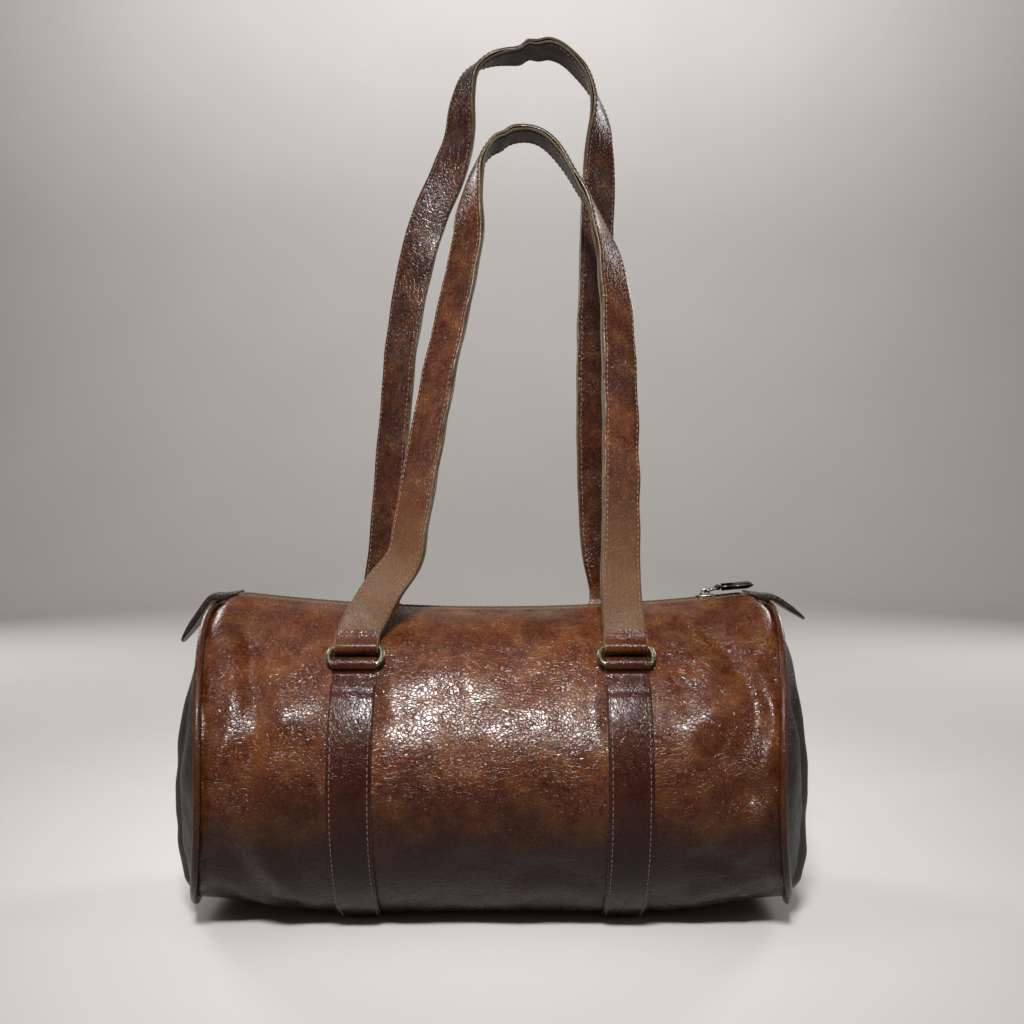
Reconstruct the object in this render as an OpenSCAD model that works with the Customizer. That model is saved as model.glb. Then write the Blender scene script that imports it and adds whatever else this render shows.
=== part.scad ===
/* [Body] */
// Radius of the barrel's leather
body_r = 81; // [70:1:95]
// Length between the two end seams, measured along the top
seam_length = 304; // [280:1:340]
// Thickness of the body's leather
leather_t = 1.6; // [1:0.1:2.2]
// Depth by which the underside is pressed flat
flat_depth = 5.8; // [4:0.2:8]
// Height by which the underside rises towards the end seams
base_rise = 10; // [4:0.5:12]
// Bulge of each end panel past its seam
end_bulge = 15; // [10:1:24]
// Height of an end panel's fullest point above the underside
bulge_h = 62; // [50:1:80]
// Distance by which the seams are drawn in at the front and the rear
seam_draw = 12; // [4:0.5:14]
// Distance by which the seams spread at the underside
seam_splay = 5; // [0:0.5:8]
// Diameter of the piping cord in its leather
piping_d = 3.8; // [3:0.1:4.4]
// Thickness of the lining
lining_t = 0.8; // [0.5:0.1:1.2]

/* [Zip opening] */
// Distance from an end seam to the end of the zip opening
zip_inset = 16; // [12:1:20]
// Depth by which the middle of the opening sags below its ends
zip_sag = 8; // [4:0.5:12]
// Height of the opening's middle above the round of the barrel
crown = 1.6; // [0.5:0.1:4]
// Drop of the top line from the opening's end to the end seam
end_drop = 8; // [5:0.5:11]
// Width between the two leather edges
mouth_w = 12; // [11:0.5:16]
// Width of each zip tape
tape_w = 13; // [10:0.5:16]
// Thickness of a zip tape
tape_t = 0.6; // [0.4:0.1:0.9]
// Pitch of the teeth
tooth_pitch = 3.5; // [3:0.1:5]
// Width of one row of teeth
tooth_w = 2.6; // [2:0.1:3]
// Height of the teeth
tooth_h = 2.6; // [2:0.1:3.2]
// Slot between the two rows of teeth
tooth_slot = 1.2; // [1:0.1:1.6]
// Distance of the slider from the right end of the opening
slider_inset = 18.5; // [18:0.5:40]
// Length of the slider
slider_l = 10.5; // [9:0.5:12]
// Length of the pull link between its two bars
link_l = 7.5; // [6.5:0.5:10]
// Length of the pull from its eye to its tip
pull_l = 20; // [14:0.5:24]
// Width of the pull at its widest
pull_w = 8.4; // [7:0.2:11]
// Thickness of the pull
pull_t = 4; // [1.6:0.1:4.2]
// Slope of the resting pull, in degrees down towards its tip
pull_drop_deg = 1; // [0:0.5:1.5]

/* [Zip tabs] */
// Width of a zip tab
tab_w = 18; // [15:1:24]
// Thickness of the folded leather of a zip tab
tab_t = 3.4; // [2.4:0.2:4.4]
// Distance by which the tabs reach past the end seams
tab_reach = 21; // [16:0.5:24]
// Slope of the left tab's tip, in degrees below level
tab_left_deg = 56; // [30:1:60]
// Slope of the right tab's tip, in degrees below level
tab_right_deg = 35; // [20:1:60]

/* [Bands and rings] */
// Distance from an end seam to the middle of a band
band_inset = 84; // [70:1:95]
// Width of the bands and of the straps
strap_w = 22; // [18:1:26]
// Thickness of a band
band_t = 2; // [1.4:0.1:2.6]
// Height of the front chapes round the barrel, in degrees above level
chape_front_deg = 44.5; // [40:0.5:52]
// Height of the rear chapes round the barrel, in degrees above level
chape_rear_deg = 54; // [44:1:58]
// Length of the folded part of a chape
chape_l = 13; // [10:1:18]
// Diameter of the ring wire
wire_d = 3.2; // [2.8:0.1:4]
// Distance between a ring's two bars
ring_pitch = 10.4; // [10:0.1:13]
// Bend radius at the corners of a ring
ring_bend = 2.4; // [2:0.1:4]
// Tilt of the rear rings, in degrees above level
ring_rear_deg = 80; // [60:1:90]

/* [Straps] */
// Thickness of one layer of strap leather
ply_t = 2; // [1.4:0.1:2.4]
// Length of the stitched end of a strap above its ring
loop_l = 9; // [7:0.5:14]
// Direction in which the front strap leaves its rings, in degrees above level
front_lift_deg = 58; // [50:1:70]
// Direction in which the rear strap leaves its rings, in degrees above level
rear_lift_deg = 86; // [75:1:95]
// Height of the front strap's top above its rings
front_rise = 286; // [220:1:320]
// Distance by which the front strap's top leans back from its rings
front_lean = 75; // [66:1:80]
// Height of the rear strap's top above its rings
rear_rise = 338; // [280:1:380]
// Distance by which the rear strap's top leans back from its rings
rear_lean = 11; // [8:1:20]

/* [Hidden] */

// Clearances
seat_gap = 0.3;
run_gap = 0.05;
thin_gap = 0.1;
pin_gap = 0.2;
roll_ease = 0.15;

// Body: the barrel's axis, the seams and the top line
seam_half = seam_length / 2;
band_x = seam_half - band_inset;
under_z = band_t + seat_gap;
axis_z = under_z + body_r - flat_depth;
flat_soft = 1.5;
rise_from_share = 0.58;
bulge_power = 3;
fall_power = 1.6;
crest_power = 8;
rise_power = 2;
zip_half = seam_half - zip_inset;
slider_x = zip_half - slider_inset;
zip_r = (zip_half * zip_half + zip_sag * zip_sag) / (2 * zip_sag);
zip_mid_z = axis_z + body_r + crown;
zip_axis_z = zip_mid_z + zip_r;
mouth_deg = asin(mouth_w / 2 / body_r);

// Counts along the body, round it and along the straps
round_steps = 44;
top_crowd_share = 0.35;
half_steps = 10;
band_steps = 60;
piping_sides = 8;
route_steps = 4;
dome_shares = [0.1, 0.32, 0.52, 0.7, 0.84, 0.94, 1];
lining_dome_shares = [0.12, 0.45, 0.75, 1];

// Zip chain: levels are measured down from the top line
tooth_top = 0.1;
tooth_gullet = 0.6;
tape_in = tooth_slot / 2 + tooth_w + thin_gap;
tape_steps = 4;
tape_dip_in = 1.1;
tape_dip_out = leather_t + seat_gap;
chain_half = zip_half - 1;
stop_l = 2;
plate_t = 1.1;
plate_w = 8.4;
plate_gap = 0.3;
neck_l = 3.4;
bridge_r = 1.7;
link_r = 0.65;
link_arm_y = 2.7;
link_bend = 1.1;
pull_eye_r = 1.6;
pull_eye_l = 3.4;
pull_neck_w = 3;
link_deg = 12;

// Tabs
tab_from = 3.5;
tab_start_t = 1.6;
tab_steps = 8;

// Rings, chapes and strap loops
wire_r = wire_d / 2;
bore_r = wire_r + run_gap;
roll_r = bore_r + band_t + roll_ease;
bar_half = strap_w / 2 + seat_gap;
roll_step = 15;
roll_from = -75;
roll_to = 130;
tail_steps = 4;

// Shoulder strap routes, chosen by hand: how far out each point is, as a share of the ring's place,
// how far back as a share of the lean, how high as a share of the rise, and its turn from flat to
// the front (0) to edge on to the front (1)
front_route_shares = [
  [-0.84, 0.20, 0.095, 0.18], [-0.675, 0.27, 0.155, 0.32], [-0.63, 0.32, 0.21, 0.34],
  [-0.56, 0.41, 0.32, 0.33], [-0.475, 0.50, 0.44, 0.35], [-0.375, 0.60, 0.57, 0.37],
  [-0.27, 0.70, 0.69, 0.39], [-0.205, 0.78, 0.785, 0.44], [-0.185, 0.85, 0.86, 0.64],
  [-0.12, 0.91, 0.93, 0.88], [0.03, 0.97, 0.98, 1.0], [0.24, 1.0, 1.0, 1.0],
  [0.44, 0.99, 0.985, 1.0], [0.62, 0.95, 0.93, 0.98], [0.80, 0.88, 0.85, 0.88],
  [0.935, 0.81, 0.76, 0.62], [0.995, 0.72, 0.66, 0.42], [1.015, 0.60, 0.53, 0.32],
  [1.015, 0.47, 0.38, 0.28], [1.0, 0.34, 0.22, 0.24], [0.985, 0.20, 0.10, 0.14]
];
rear_route_shares = [
  [-0.96, 0.10, 0.09, 0.18], [-0.93, 0.22, 0.20, 0.30], [-0.88, 0.35, 0.34, 0.32],
  [-0.82, 0.48, 0.47, 0.28], [-0.72, 0.60, 0.59, 0.14], [-0.585, 0.68, 0.69, 0.04],
  [-0.415, 0.74, 0.77, 0.12], [-0.315, 0.78, 0.84, 0.36], [-0.29, 0.82, 0.90, 0.54],
  [-0.22, 0.88, 0.955, 0.72], [-0.05, 0.94, 0.978, 0.88], [0.15, 0.98, 0.985, 1.0],
  [0.32, 1.0, 0.995, 1.04], [0.47, 1.0, 1.0, 1.06], [0.64, 0.97, 0.985, 1.04],
  [0.80, 0.93, 0.95, 1.0], [0.91, 0.88, 0.90, 0.82], [0.94, 0.82, 0.83, 0.48],
  [0.925, 0.74, 0.75, 0.28], [0.905, 0.62, 0.62, 0.22], [0.885, 0.48, 0.47, 0.20],
  [0.88, 0.32, 0.30, 0.18], [0.915, 0.16, 0.12, 0.10]
];

// Smooth step from 0 to 1
function ease(s) = let (c = min(1, max(0, s))) c * c * (3 - 2 * c);

// Top line of the bag: a sagging arc between the zip's ends, then a late fall to the seams
function top_line(x) = let (
    ax = abs(x),
    end_z = zip_axis_z - sqrt(zip_r * zip_r - zip_half * zip_half)
  )
  ax <= zip_half ? zip_axis_z - sqrt(zip_r * zip_r - ax * ax)
    : end_z - end_drop * ease(pow((ax - zip_half) / zip_inset, fall_power));

// Rise of the underside at a place along the bag
function rise(x) = base_rise * ease((abs(x) / seam_half - rise_from_share) / (1 - rise_from_share));

// A height kept above a floor, with a soft corner where it meets it
function settle(z, low) = let (d = z - low)
  d < -flat_soft ? low
    : d > flat_soft ? z
    : low + (d + flat_soft) * (d + flat_soft) / (4 * flat_soft);

// A point of the barrel at x, turned by an angle from the rear over the top, and moved out by off
function skin(x, turn, off = 0) = let (
    crest = (top_line(x) - axis_z - body_r) * pow(max(0, sin(turn)), crest_power),
    lift = rise(x) * pow(max(0, -sin(turn)), rise_power),
    r = body_r + off
  )
  [x, r * cos(turn), settle(axis_z + r * sin(turn) + crest + lift, under_z + rise(x) - off)];

// Place of the end seam round the barrel
function seam_x(turn) = seam_half - seam_draw * pow(cos(turn), 2)
  + seam_splay * pow(max(0, -sin(turn)), 2);

// Angles round the body, from the front leather edge under the belly to the rear edge, closer
// together near the zip
round_turns = [
  for (i = [0:round_steps])
    let (s = i / round_steps, crowd = top_crowd_share * sin(360 * s) / (2 * PI))
    90 + mouth_deg + (s - crowd) * (360 - 2 * mouth_deg)
];

// Places along the body as shares of its half length, closer together near the seams
function along_shares(n) = [for (i = [-n:n]) sin(90 * i / n)];

// Triangles between m closed loops of n points each; joined turns the last loop into the first
function loop_faces(m, n, joined, other) = [
  for (i = [0:m - (joined ? 1 : 2)])
    for (j = [0:n - 1])
      let (
        i2 = (i + 1) % m,
        j2 = (j + 1) % n,
        a = i * n + j,
        b = i * n + j2,
        c = i2 * n + j2,
        d = i2 * n + j
      )
      each other ? [[a, b, d], [b, c, d]] : [[a, b, c], [a, c, d]]
];

// Triangles that close a thin loop, made of an outer row and the inner row back
function strip_cap(start, n, far) = [
  for (j = [0:n / 2 - 2])
    let (a = start + j, b = start + j + 1, c = start + n - 2 - j, d = start + n - 1 - j)
    each far ? [[a, b, c], [a, c, d]] : [[a, c, b], [a, d, c]]
];

// Triangles that close a round loop
function fan_cap(start, n, far) = [
  for (j = [1:n - 2])
    far ? [start, start + j, start + j + 1] : [start, start + j + 1, start + j]
];

// A closed solid from loops of points; ends are "strip", "fan" or "joined"
module loft(loops, ends, other = false) {
  m = len(loops);
  n = len(loops[0]);
  points = [for (l = loops) each l];
  caps = ends == "strip" ? concat(strip_cap(0, n, false), strip_cap((m - 1) * n, n, true))
    : ends == "fan" ? concat(fan_cap(0, n, false), fan_cap((m - 1) * n, n, true))
    : [];
  polyhedron(points = points, faces = concat(loop_faces(m, n, ends == "joined", other), caps));
}

function reversed(list) = [for (i = [len(list) - 1:-1:0]) list[i]];

// Leather sheet wrapped round the barrel, between two offsets and short of the seams
module wrap_sheet(out, inside, short, steps) {
  loft([
    for (u = along_shares(steps))
      let (
        outer = [for (t = round_turns) skin(u * (seam_x(t) - short), t, out)],
        inner = [for (t = round_turns) skin(u * (seam_x(t) - short), t, inside)]
      )
      concat(outer, reversed(inner))
  ], "strip");
}

// Point of the right end panel at a share of the way from its fullest point to its seam
function dome_point(share, turn, off) = let (
    rim = skin(seam_x(turn), turn, off),
    mid_z = axis_z - body_r + bulge_h,
    base_x = seam_half + (seam_x(turn) - seam_half) * share * share
  )
  [
    base_x + (end_bulge + off) * (1 - pow(share, bulge_power)) + seat_gap / 2,
    rim[1] * share,
    mid_z + (rim[2] - mid_z) * share
  ];

// Domed end sheet between two offsets
module dome_sheet(out, inside, shares) {
  outer = [for (s = shares) [for (t = round_turns) dome_point(s, t, out)]];
  inner = [for (s = reversed(shares)) [for (t = round_turns) dome_point(s, t, inside)]];
  loft(concat(outer, inner), "fan");
}

module body_panel() {
  color("#6b3d24") wrap_sheet(0, -leather_t, seat_gap / 2, half_steps);
}

module end_panel_right() {
  color("#3f322a") dome_sheet(0, -leather_t, dome_shares);
}

module end_panel_left() {
  mirror([1, 0, 0]) end_panel_right();
}

// Level of the lining's outer face: it lies under the zip tapes
lining_out = -leather_t - tape_t - 2 * seat_gap;

module lining_wrap() {
  color("#8a7f70") wrap_sheet(lining_out, lining_out - lining_t, seat_gap / 2, half_steps);
}

module lining_end_right() {
  color("#8a7f70") dome_sheet(lining_out, lining_out - lining_t, lining_dome_shares);
}

module lining_end_left() {
  mirror([1, 0, 0]) lining_end_right();
}

// Piping round the right seam
module piping_right() {
  r = piping_d / 2;
  color("#38201a") loft([
    for (t = round_turns)
      let (mid = skin(seam_x(t), t, r + seat_gap), out = [0, cos(t), sin(t)])
      [
        for (k = [0:piping_sides - 1])
          let (a = 360 * k / piping_sides)
          mid + r * (cos(a) * out - sin(a) * [1, 0, 0])
      ]
  ], "joined");
}

module piping_left() {
  mirror([1, 0, 0]) piping_right();
}

// Angle round the barrel that a chape's folded part covers
chape_turn = chape_l / body_r * 180 / PI;
band_end_turn = chape_turn + seat_gap / body_r * 180 / PI;

// Band round the right side, from the front chape under the belly to the rear one
module band_right() {
  from = 180 - chape_front_deg + band_end_turn;
  to = 360 + chape_rear_deg - band_end_turn;
  color("#2e1006") loft([
    for (i = [0:band_steps])
      let (t = from + i * (to - from) / band_steps)
      [
        skin(band_x - strap_w / 2, t, seat_gap + band_t),
        skin(band_x + strap_w / 2, t, seat_gap + band_t),
        skin(band_x + strap_w / 2, t, seat_gap),
        skin(band_x - strap_w / 2, t, seat_gap)
      ]
  ], "strip");
}

module band_left() {
  mirror([1, 0, 0]) band_right();
}

// The next functions hold for the front, and the rear is their mirror image

// Outward direction and upward direction on the barrel, at an angle above level
function out_dir(deg) = [0, -cos(deg), sin(deg)];
function up_dir(deg) = [0, sin(deg), cos(deg)];

// Middle of a chape's bar
function chape_bar(deg) = skin(band_x, 180 - deg, seat_gap) + roll_r * out_dir(deg);

// Middle of a ring's upper bar when the ring lies on the shoulder
function shoulder_bar(deg) = let (up = deg + 2 * asin(ring_pitch / 2 / (body_r + roll_r)))
  chape_bar(up);

// Tilt of a ring that lies on the shoulder
function shoulder_deg(deg) = let (d = shoulder_bar(deg) - chape_bar(deg)) atan2(d[2], d[1]);

ring_front_deg = shoulder_deg(chape_front_deg);

// Direction of a tilt, seen from the right side
function tilt(deg) = [0, cos(deg), sin(deg)];

function strap_bar(chape_deg, ring_deg) = chape_bar(chape_deg) + ring_pitch * tilt(ring_deg);

// Band end folded round the ring's lower bar and sewn back on itself
module chape(deg) {
  bar = chape_bar(deg);
  up = up_dir(deg);
  out = out_dir(deg);
  tail = [
    for (i = [0:tail_steps])
      let (d = skin(band_x, 180 - deg + i / tail_steps * chape_turn, seat_gap) - bar)
      [d * up, d * out]
  ];
  top = skin(band_x, 180 - deg + chape_turn, seat_gap + 2 * band_t) - bar;
  roll = [for (a = [roll_from:roll_step:roll_to]) roll_r * [cos(a), sin(a)]];
  translate([band_x - strap_w / 2, bar[1], bar[2]])
    rotate([90 - deg, 0, 0])
      rotate([90, 0, 90])
        linear_extrude(height = strap_w)
          difference() {
            polygon(concat(reversed(tail), roll, [[top * up, top * out]]));
            circle(r = bore_r, $fn = 48);
          }
}

// Stitched end of a strap round the ring's upper bar, with its cut edge to the front
module strap_loop(bar, deg) {
  roll = [for (a = [90:roll_step:270]) roll_r * [cos(a), sin(a)]];
  translate([bar[0] - strap_w / 2, bar[1], bar[2]])
    rotate([deg, 0, 0])
      rotate([90, 0, 90])
        linear_extrude(height = strap_w)
          difference() {
            polygon(concat(roll, [[loop_l, -roll_r], [loop_l, -roll_r + 3 * ply_t]]));
            circle(r = bore_r, $fn = 48);
          }
}

// Piece of round wire bent about the origin
module bend(radius, from, angle, r) {
  rotate([0, 0, from])
    rotate_extrude(angle = angle, $fn = 64)
      translate([radius, 0])
        circle(r = r, $fn = 32);
}

// Straight piece of round wire along X
module bar_x(half, r) {
  rotate([0, 90, 0]) cylinder(h = 2 * half, r = r, center = true, $fn = 32);
}

// A ring with its lower bar on the X axis, before it is tilted
module ring_shape() {
  for (y = [0, ring_pitch]) translate([0, y, 0]) bar_x(bar_half, wire_r);
  for (side = [0, 1]) mirror([side, 0, 0]) {
    translate([bar_half, ring_bend, 0]) bend(ring_bend, -90, 90, wire_r);
    translate([bar_half, ring_pitch - ring_bend, 0]) bend(ring_bend, 0, 90, wire_r);
    translate([bar_half + ring_bend, ring_pitch / 2, 0])
      rotate([0, 0, 90])
        bar_x(ring_pitch / 2 - ring_bend, wire_r);
  }
}

module ring(chape_deg, ring_deg) {
  color("#8c7a3f") translate(chape_bar(chape_deg)) rotate([ring_deg, 0, 0]) ring_shape();
}

// Smooth value between b and c, with a and d as its neighbours
function between(a, b, c, d, s) = 0.5 * (
  2 * b + (c - a) * s + (2 * a - 5 * b + 4 * c - d) * s * s + (3 * b - a - 3 * c + d) * s * s * s
);

// Route of a strap: rows of x, y, z and turn, from the left loop to the right loop
function route_rows(shares, bar, deg, lean, rise) = let (
    along = tilt(deg),
    front = tilt(deg + 90),
    start = bar + (loop_l + seat_gap) * along + (ply_t - roll_r) * front,
    before = start - loop_l * along,
    row = function (p, side) [side * p[0], p[1], p[2], 0]
  )
  concat(
    [row(before, -1), row(start, -1)],
    [for (s = shares) [s[0] * bar[0], bar[1] + s[1] * lean, bar[2] + s[2] * rise, s[3]]],
    [row(start, 1), row(before, 1)]
  );

function smooth_rows(rows) = [
  for (i = [1:len(rows) - 3])
    for (k = [0:route_steps - (i == len(rows) - 3 ? 0 : 1)])
      between(rows[i - 1], rows[i], rows[i + 1], rows[i + 2], k / route_steps)
];

function place(row) = [row[0], row[1], row[2]];
function unit(v) = v / norm(v);

// Loops of one strap layer between two heights above the route's surface; its ends are square to
// the loops round the rings, which lean by deg
function layer_loops(rows, deg, low, high) = [
  for (i = [0:len(rows) - 1])
    let (
      mid = place(rows[i]),
      ends = i == 0 || i == len(rows) - 1,
      ahead = i == 0 ? tilt(deg)
        : i == len(rows) - 1 ? -tilt(deg)
        : place(rows[i + 1]) - place(rows[i - 1]),
      along = unit(ahead),
      flat_dir = unit(cross(along, [0, 1, 0])),
      edge_dir = cross(flat_dir, along),
      turn = ends ? 0 : 90 * rows[i][3],
      wide = cos(turn) * flat_dir + sin(turn) * edge_dir,
      up = cross(along, wide),
      w = strap_w / 2
    )
    [mid + w * wide + high * up, mid - w * wide + high * up,
      mid - w * wide + low * up, mid + w * wide + low * up]
];

module strap_layer(rows, deg, low, high, other) {
  loft(layer_loops(rows, deg, low, high), "strip", other);
}

front_bar = strap_bar(chape_front_deg, ring_front_deg);
rear_bar = strap_bar(chape_rear_deg, ring_rear_deg);
front_rows = smooth_rows(route_rows(front_route_shares, front_bar, front_lift_deg, front_lean, front_rise));

// The rear strap leaves its rings to the rear, so its route is worked out unmirrored
rear_bar_true = [rear_bar[0], -rear_bar[1], rear_bar[2]];
rear_rows = smooth_rows(
  route_rows(rear_route_shares, rear_bar_true, rear_lift_deg, rear_lean, rear_rise)
);

module strap_front_outer() {
  color("#5a2a16") strap_layer(front_rows, front_lift_deg, thin_gap / 2, ply_t, false);
}

module strap_front_backing() {
  color("#37291f") strap_layer(front_rows, front_lift_deg, -ply_t, -thin_gap / 2, true);
}

module strap_rear_outer() {
  color("#5a2a16") strap_layer(rear_rows, rear_lift_deg, thin_gap / 2, ply_t, false);
}

module strap_rear_backing() {
  color("#37291f") strap_layer(rear_rows, rear_lift_deg, -ply_t, -thin_gap / 2, true);
}

module strap_front_loop_right() {
  color("#5a2a16") strap_loop(front_bar, front_lift_deg);
}

module strap_front_loop_left() {
  mirror([1, 0, 0]) strap_front_loop_right();
}

module strap_rear_loop_right() {
  color("#5a2a16") strap_loop(rear_bar_true, rear_lift_deg);
}

module strap_rear_loop_left() {
  mirror([1, 0, 0]) strap_rear_loop_right();
}

module chape_front_right() {
  color("#2e1006") chape(chape_front_deg);
}

module chape_front_left() {
  mirror([1, 0, 0]) chape_front_right();
}

module chape_rear_right() {
  color("#2e1006") mirror([0, 1, 0]) chape(chape_rear_deg);
}

module chape_rear_left() {
  mirror([1, 0, 0]) chape_rear_right();
}

module ring_front_right() {
  ring(chape_front_deg, ring_front_deg);
}

module ring_front_left() {
  mirror([1, 0, 0]) ring_front_right();
}

module ring_rear_right() {
  mirror([0, 1, 0]) ring(chape_rear_deg, ring_rear_deg);
}

module ring_rear_left() {
  mirror([1, 0, 0]) ring_rear_right();
}

// Zip tape: it lies under the leather edge and rises to the teeth at its inner edge
module zip_tape_back() {
  tape_rows = [
    for (k = [0:tape_steps])
      let (y = tape_in + (tape_w - tape_in) * k / tape_steps)
      [asin(y / body_r), tape_dip_in + (tape_dip_out - tape_dip_in) * ease((y - tape_in) / (mouth_w / 2 - tape_in))]
  ];
  color("#2a2521") loft([
    for (u = along_shares(half_steps))
      let (
        x = u * (seam_half - seat_gap),
        outer = [for (r = tape_rows) skin(x, 90 - r[0], -r[1])],
        inner = [for (r = tape_rows) skin(x, 90 - r[0], -r[1] - tape_t)]
      )
      concat(reversed(outer), inner)
  ], "strip");
}

module zip_tape_front() {
  mirror([0, 1, 0]) zip_tape_back();
}

// Point of the zip's arc at a distance from the middle and a level below the top line
function arc_point(s, down) = let (a = s / zip_r * 180 / PI)
  [(zip_r + down) * sin(a), zip_axis_z - (zip_r + down) * cos(a)];

// Row of teeth: a strip notched above and below between the teeth
module teeth_row(shift) {
  count = floor(2 * chain_half / tooth_pitch);
  starts = [for (i = [0:count - 1]) -chain_half + i * tooth_pitch + shift];
  top = [
    for (s = starts)
      each [
        arc_point(s, tooth_top + tooth_gullet),
        arc_point(s, tooth_top),
        arc_point(s + tooth_pitch / 2, tooth_top),
        arc_point(s + tooth_pitch / 2, tooth_top + tooth_gullet)
      ]
  ];
  bottom = [
    for (s = starts)
      each [
        arc_point(s, tooth_top + tooth_h - tooth_gullet),
        arc_point(s, tooth_top + tooth_h),
        arc_point(s + tooth_pitch / 2, tooth_top + tooth_h),
        arc_point(s + tooth_pitch / 2, tooth_top + tooth_h - tooth_gullet)
      ]
  ];
  rotate([90, 0, 0])
    translate([0, 0, tooth_slot / 2])
      linear_extrude(height = tooth_w)
        polygon(concat(top, reversed(bottom)));
}

module zip_teeth_front() {
  color("#3a352e") teeth_row(0);
}

module zip_teeth_back() {
  color("#3a352e") mirror([0, 1, 0]) teeth_row(tooth_pitch / 2);
}

// Puts a shape on the zip's arc, with its own origin on the top line at the distance x
module on_arc(x) {
  translate([0, 0, zip_axis_z])
    rotate([0, -asin(x / zip_r), 0])
      translate([0, 0, -zip_r])
        children();
}

module zip_stops() {
  w = tooth_slot + 2 * tooth_w;
  color("#3a352e")
    for (side = [-1, 1])
      on_arc(side * (chain_half + tooth_pitch / 2 + seat_gap + stop_l / 2))
        translate([-stop_l / 2, -w / 2, -tooth_top - tooth_h])
          cube([stop_l, w, tooth_h]);
}

// Levels of the slider's parts above the top line
slider_low = -tooth_top - tooth_h - plate_gap - plate_t;
slider_top = -tooth_top + plate_gap;
bridge_z = slider_top + plate_t + bridge_r - run_gap;

// Slider: an upper and a lower plate, the neck between them and the bridge for the pull link
module zip_slider() {
  neck_w = tooth_slot - 2 * thin_gap;
  bridge_w = 2 * (link_arm_y - link_r - seat_gap);
  color("#8c8460") on_arc(slider_x) {
    difference() {
      union() {
        translate([-slider_l / 2, -plate_w / 2, slider_low]) cube([slider_l, plate_w, plate_t]);
        translate([-slider_l / 2, -plate_w / 2, slider_top]) cube([slider_l, plate_w, plate_t]);
        translate([slider_l / 2 - neck_l, -neck_w / 2, slider_low + plate_t / 2])
          cube([neck_l, neck_w, slider_top - slider_low]);
        translate([-slider_l / 4, -bridge_w / 2, slider_top + plate_t / 2])
          cube([slider_l / 2, bridge_w, bridge_z + bridge_r - slider_top - plate_t / 2]);
      }
      translate([0, 0, bridge_z])
        rotate([90, 0, 0])
          cylinder(h = 2 * bridge_w, r = link_r + pin_gap, center = true, $fn = 32);
    }
  }
}

// Pull link: two bars joined by two arms, with its near bar in the slider's bridge
module zip_pull_link() {
  color("#2b2828") on_arc(slider_x) translate([0, 0, bridge_z]) rotate([0, -link_deg, 0]) {
    for (x = [0, link_l]) translate([x, 0, 0])
      rotate([0, 0, 90]) bar_x(link_arm_y - link_bend, link_r);
    for (side = [0, 1]) mirror([0, side, 0]) {
      translate([link_l / 2, link_arm_y, 0]) bar_x(link_l / 2 - link_bend, link_r);
      translate([link_bend, link_arm_y - link_bend, 0]) bend(link_bend, 90, 90, link_r);
      translate([link_l - link_bend, link_arm_y - link_bend, 0]) bend(link_bend, 0, 90, link_r);
    }
  }
}

// Pull: an eye on the link's far bar and a long plate that widens to its round end
module zip_pull() {
  tip_r = pull_w / 2;
  color("#2b2828") on_arc(slider_x) translate([0, 0, bridge_z]) rotate([0, -link_deg, 0])
    translate([link_l, 0, 0]) rotate([0, link_deg + pull_drop_deg, 0]) difference() {
      union() {
        rotate([90, 0, 0]) cylinder(h = pull_eye_l, r = pull_eye_r, center = true, $fn = 32);
        translate([0, 0, -pull_t / 2]) linear_extrude(height = pull_t) polygon([
          [0, -pull_neck_w / 2],
          [pull_l / 4, -pull_neck_w / 2],
          for (a = [-90:15:90]) [pull_l - tip_r + tip_r * cos(a), tip_r * sin(a)],
          [pull_l / 4, pull_neck_w / 2],
          [0, pull_neck_w / 2]
        ]);
      }
      rotate([90, 0, 0])
        cylinder(h = 2 * pull_eye_l, r = link_r + pin_gap, center = true, $fn = 32);
    }
}

// Folded leather tab from the zip's end over the seam; its tip hangs free at an angle below level
module zip_tab(deg) {
  seam_top = top_line(seam_half) + seat_gap + piping_d + seat_gap;
  from_x = zip_half + tab_from;
  over_x = seam_half - piping_d / 2;
  bend_x = seam_half + piping_d / 2;
  tip_l = (seam_half + tab_reach - bend_x - tab_t * sin(deg)) / cos(deg);
  tip = [bend_x + tip_l * cos(deg), seam_top - tip_l * sin(deg)];
  side = tab_t * [sin(deg), cos(deg)];
  bed = [
    for (i = [0:tab_steps])
      let (s = i / tab_steps, x = from_x + (over_x - from_x) * s, z = top_line(x) + seat_gap)
      [x, max(seam_top, z), tab_start_t + (tab_t - tab_start_t) * s]
  ];
  low = concat([for (b = bed) [b[0], b[1]]], [[bend_x, seam_top], tip]);
  high = concat(
    [tip + side, [bend_x, seam_top] + side],
    [for (b = reversed(bed)) [b[0], b[1] + b[2]]]
  );
  color("#150e0b")
    translate([0, tab_w / 2, 0])
      rotate([90, 0, 0])
        linear_extrude(height = tab_w)
          polygon(concat(low, high));
}

module zip_tab_right() {
  zip_tab(tab_right_deg);
}

module zip_tab_left() {
  mirror([1, 0, 0]) zip_tab(tab_left_deg);
}

body_panel();
end_panel_left();
end_panel_right();
piping_left();
piping_right();
band_left();
band_right();
chape_front_left();
chape_front_right();
chape_rear_left();
chape_rear_right();
lining_wrap();
lining_end_left();
lining_end_right();
zip_tape_front();
zip_tape_back();
zip_teeth_front();
zip_teeth_back();
zip_stops();
zip_tab_left();
zip_tab_right();
zip_slider();
zip_pull_link();
zip_pull();
ring_front_left();
ring_front_right();
ring_rear_left();
ring_rear_right();
strap_front_outer();
strap_front_backing();
strap_front_loop_left();
strap_front_loop_right();
strap_rear_outer();
strap_rear_backing();
strap_rear_loop_left();
strap_rear_loop_right();
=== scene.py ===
import math

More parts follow.
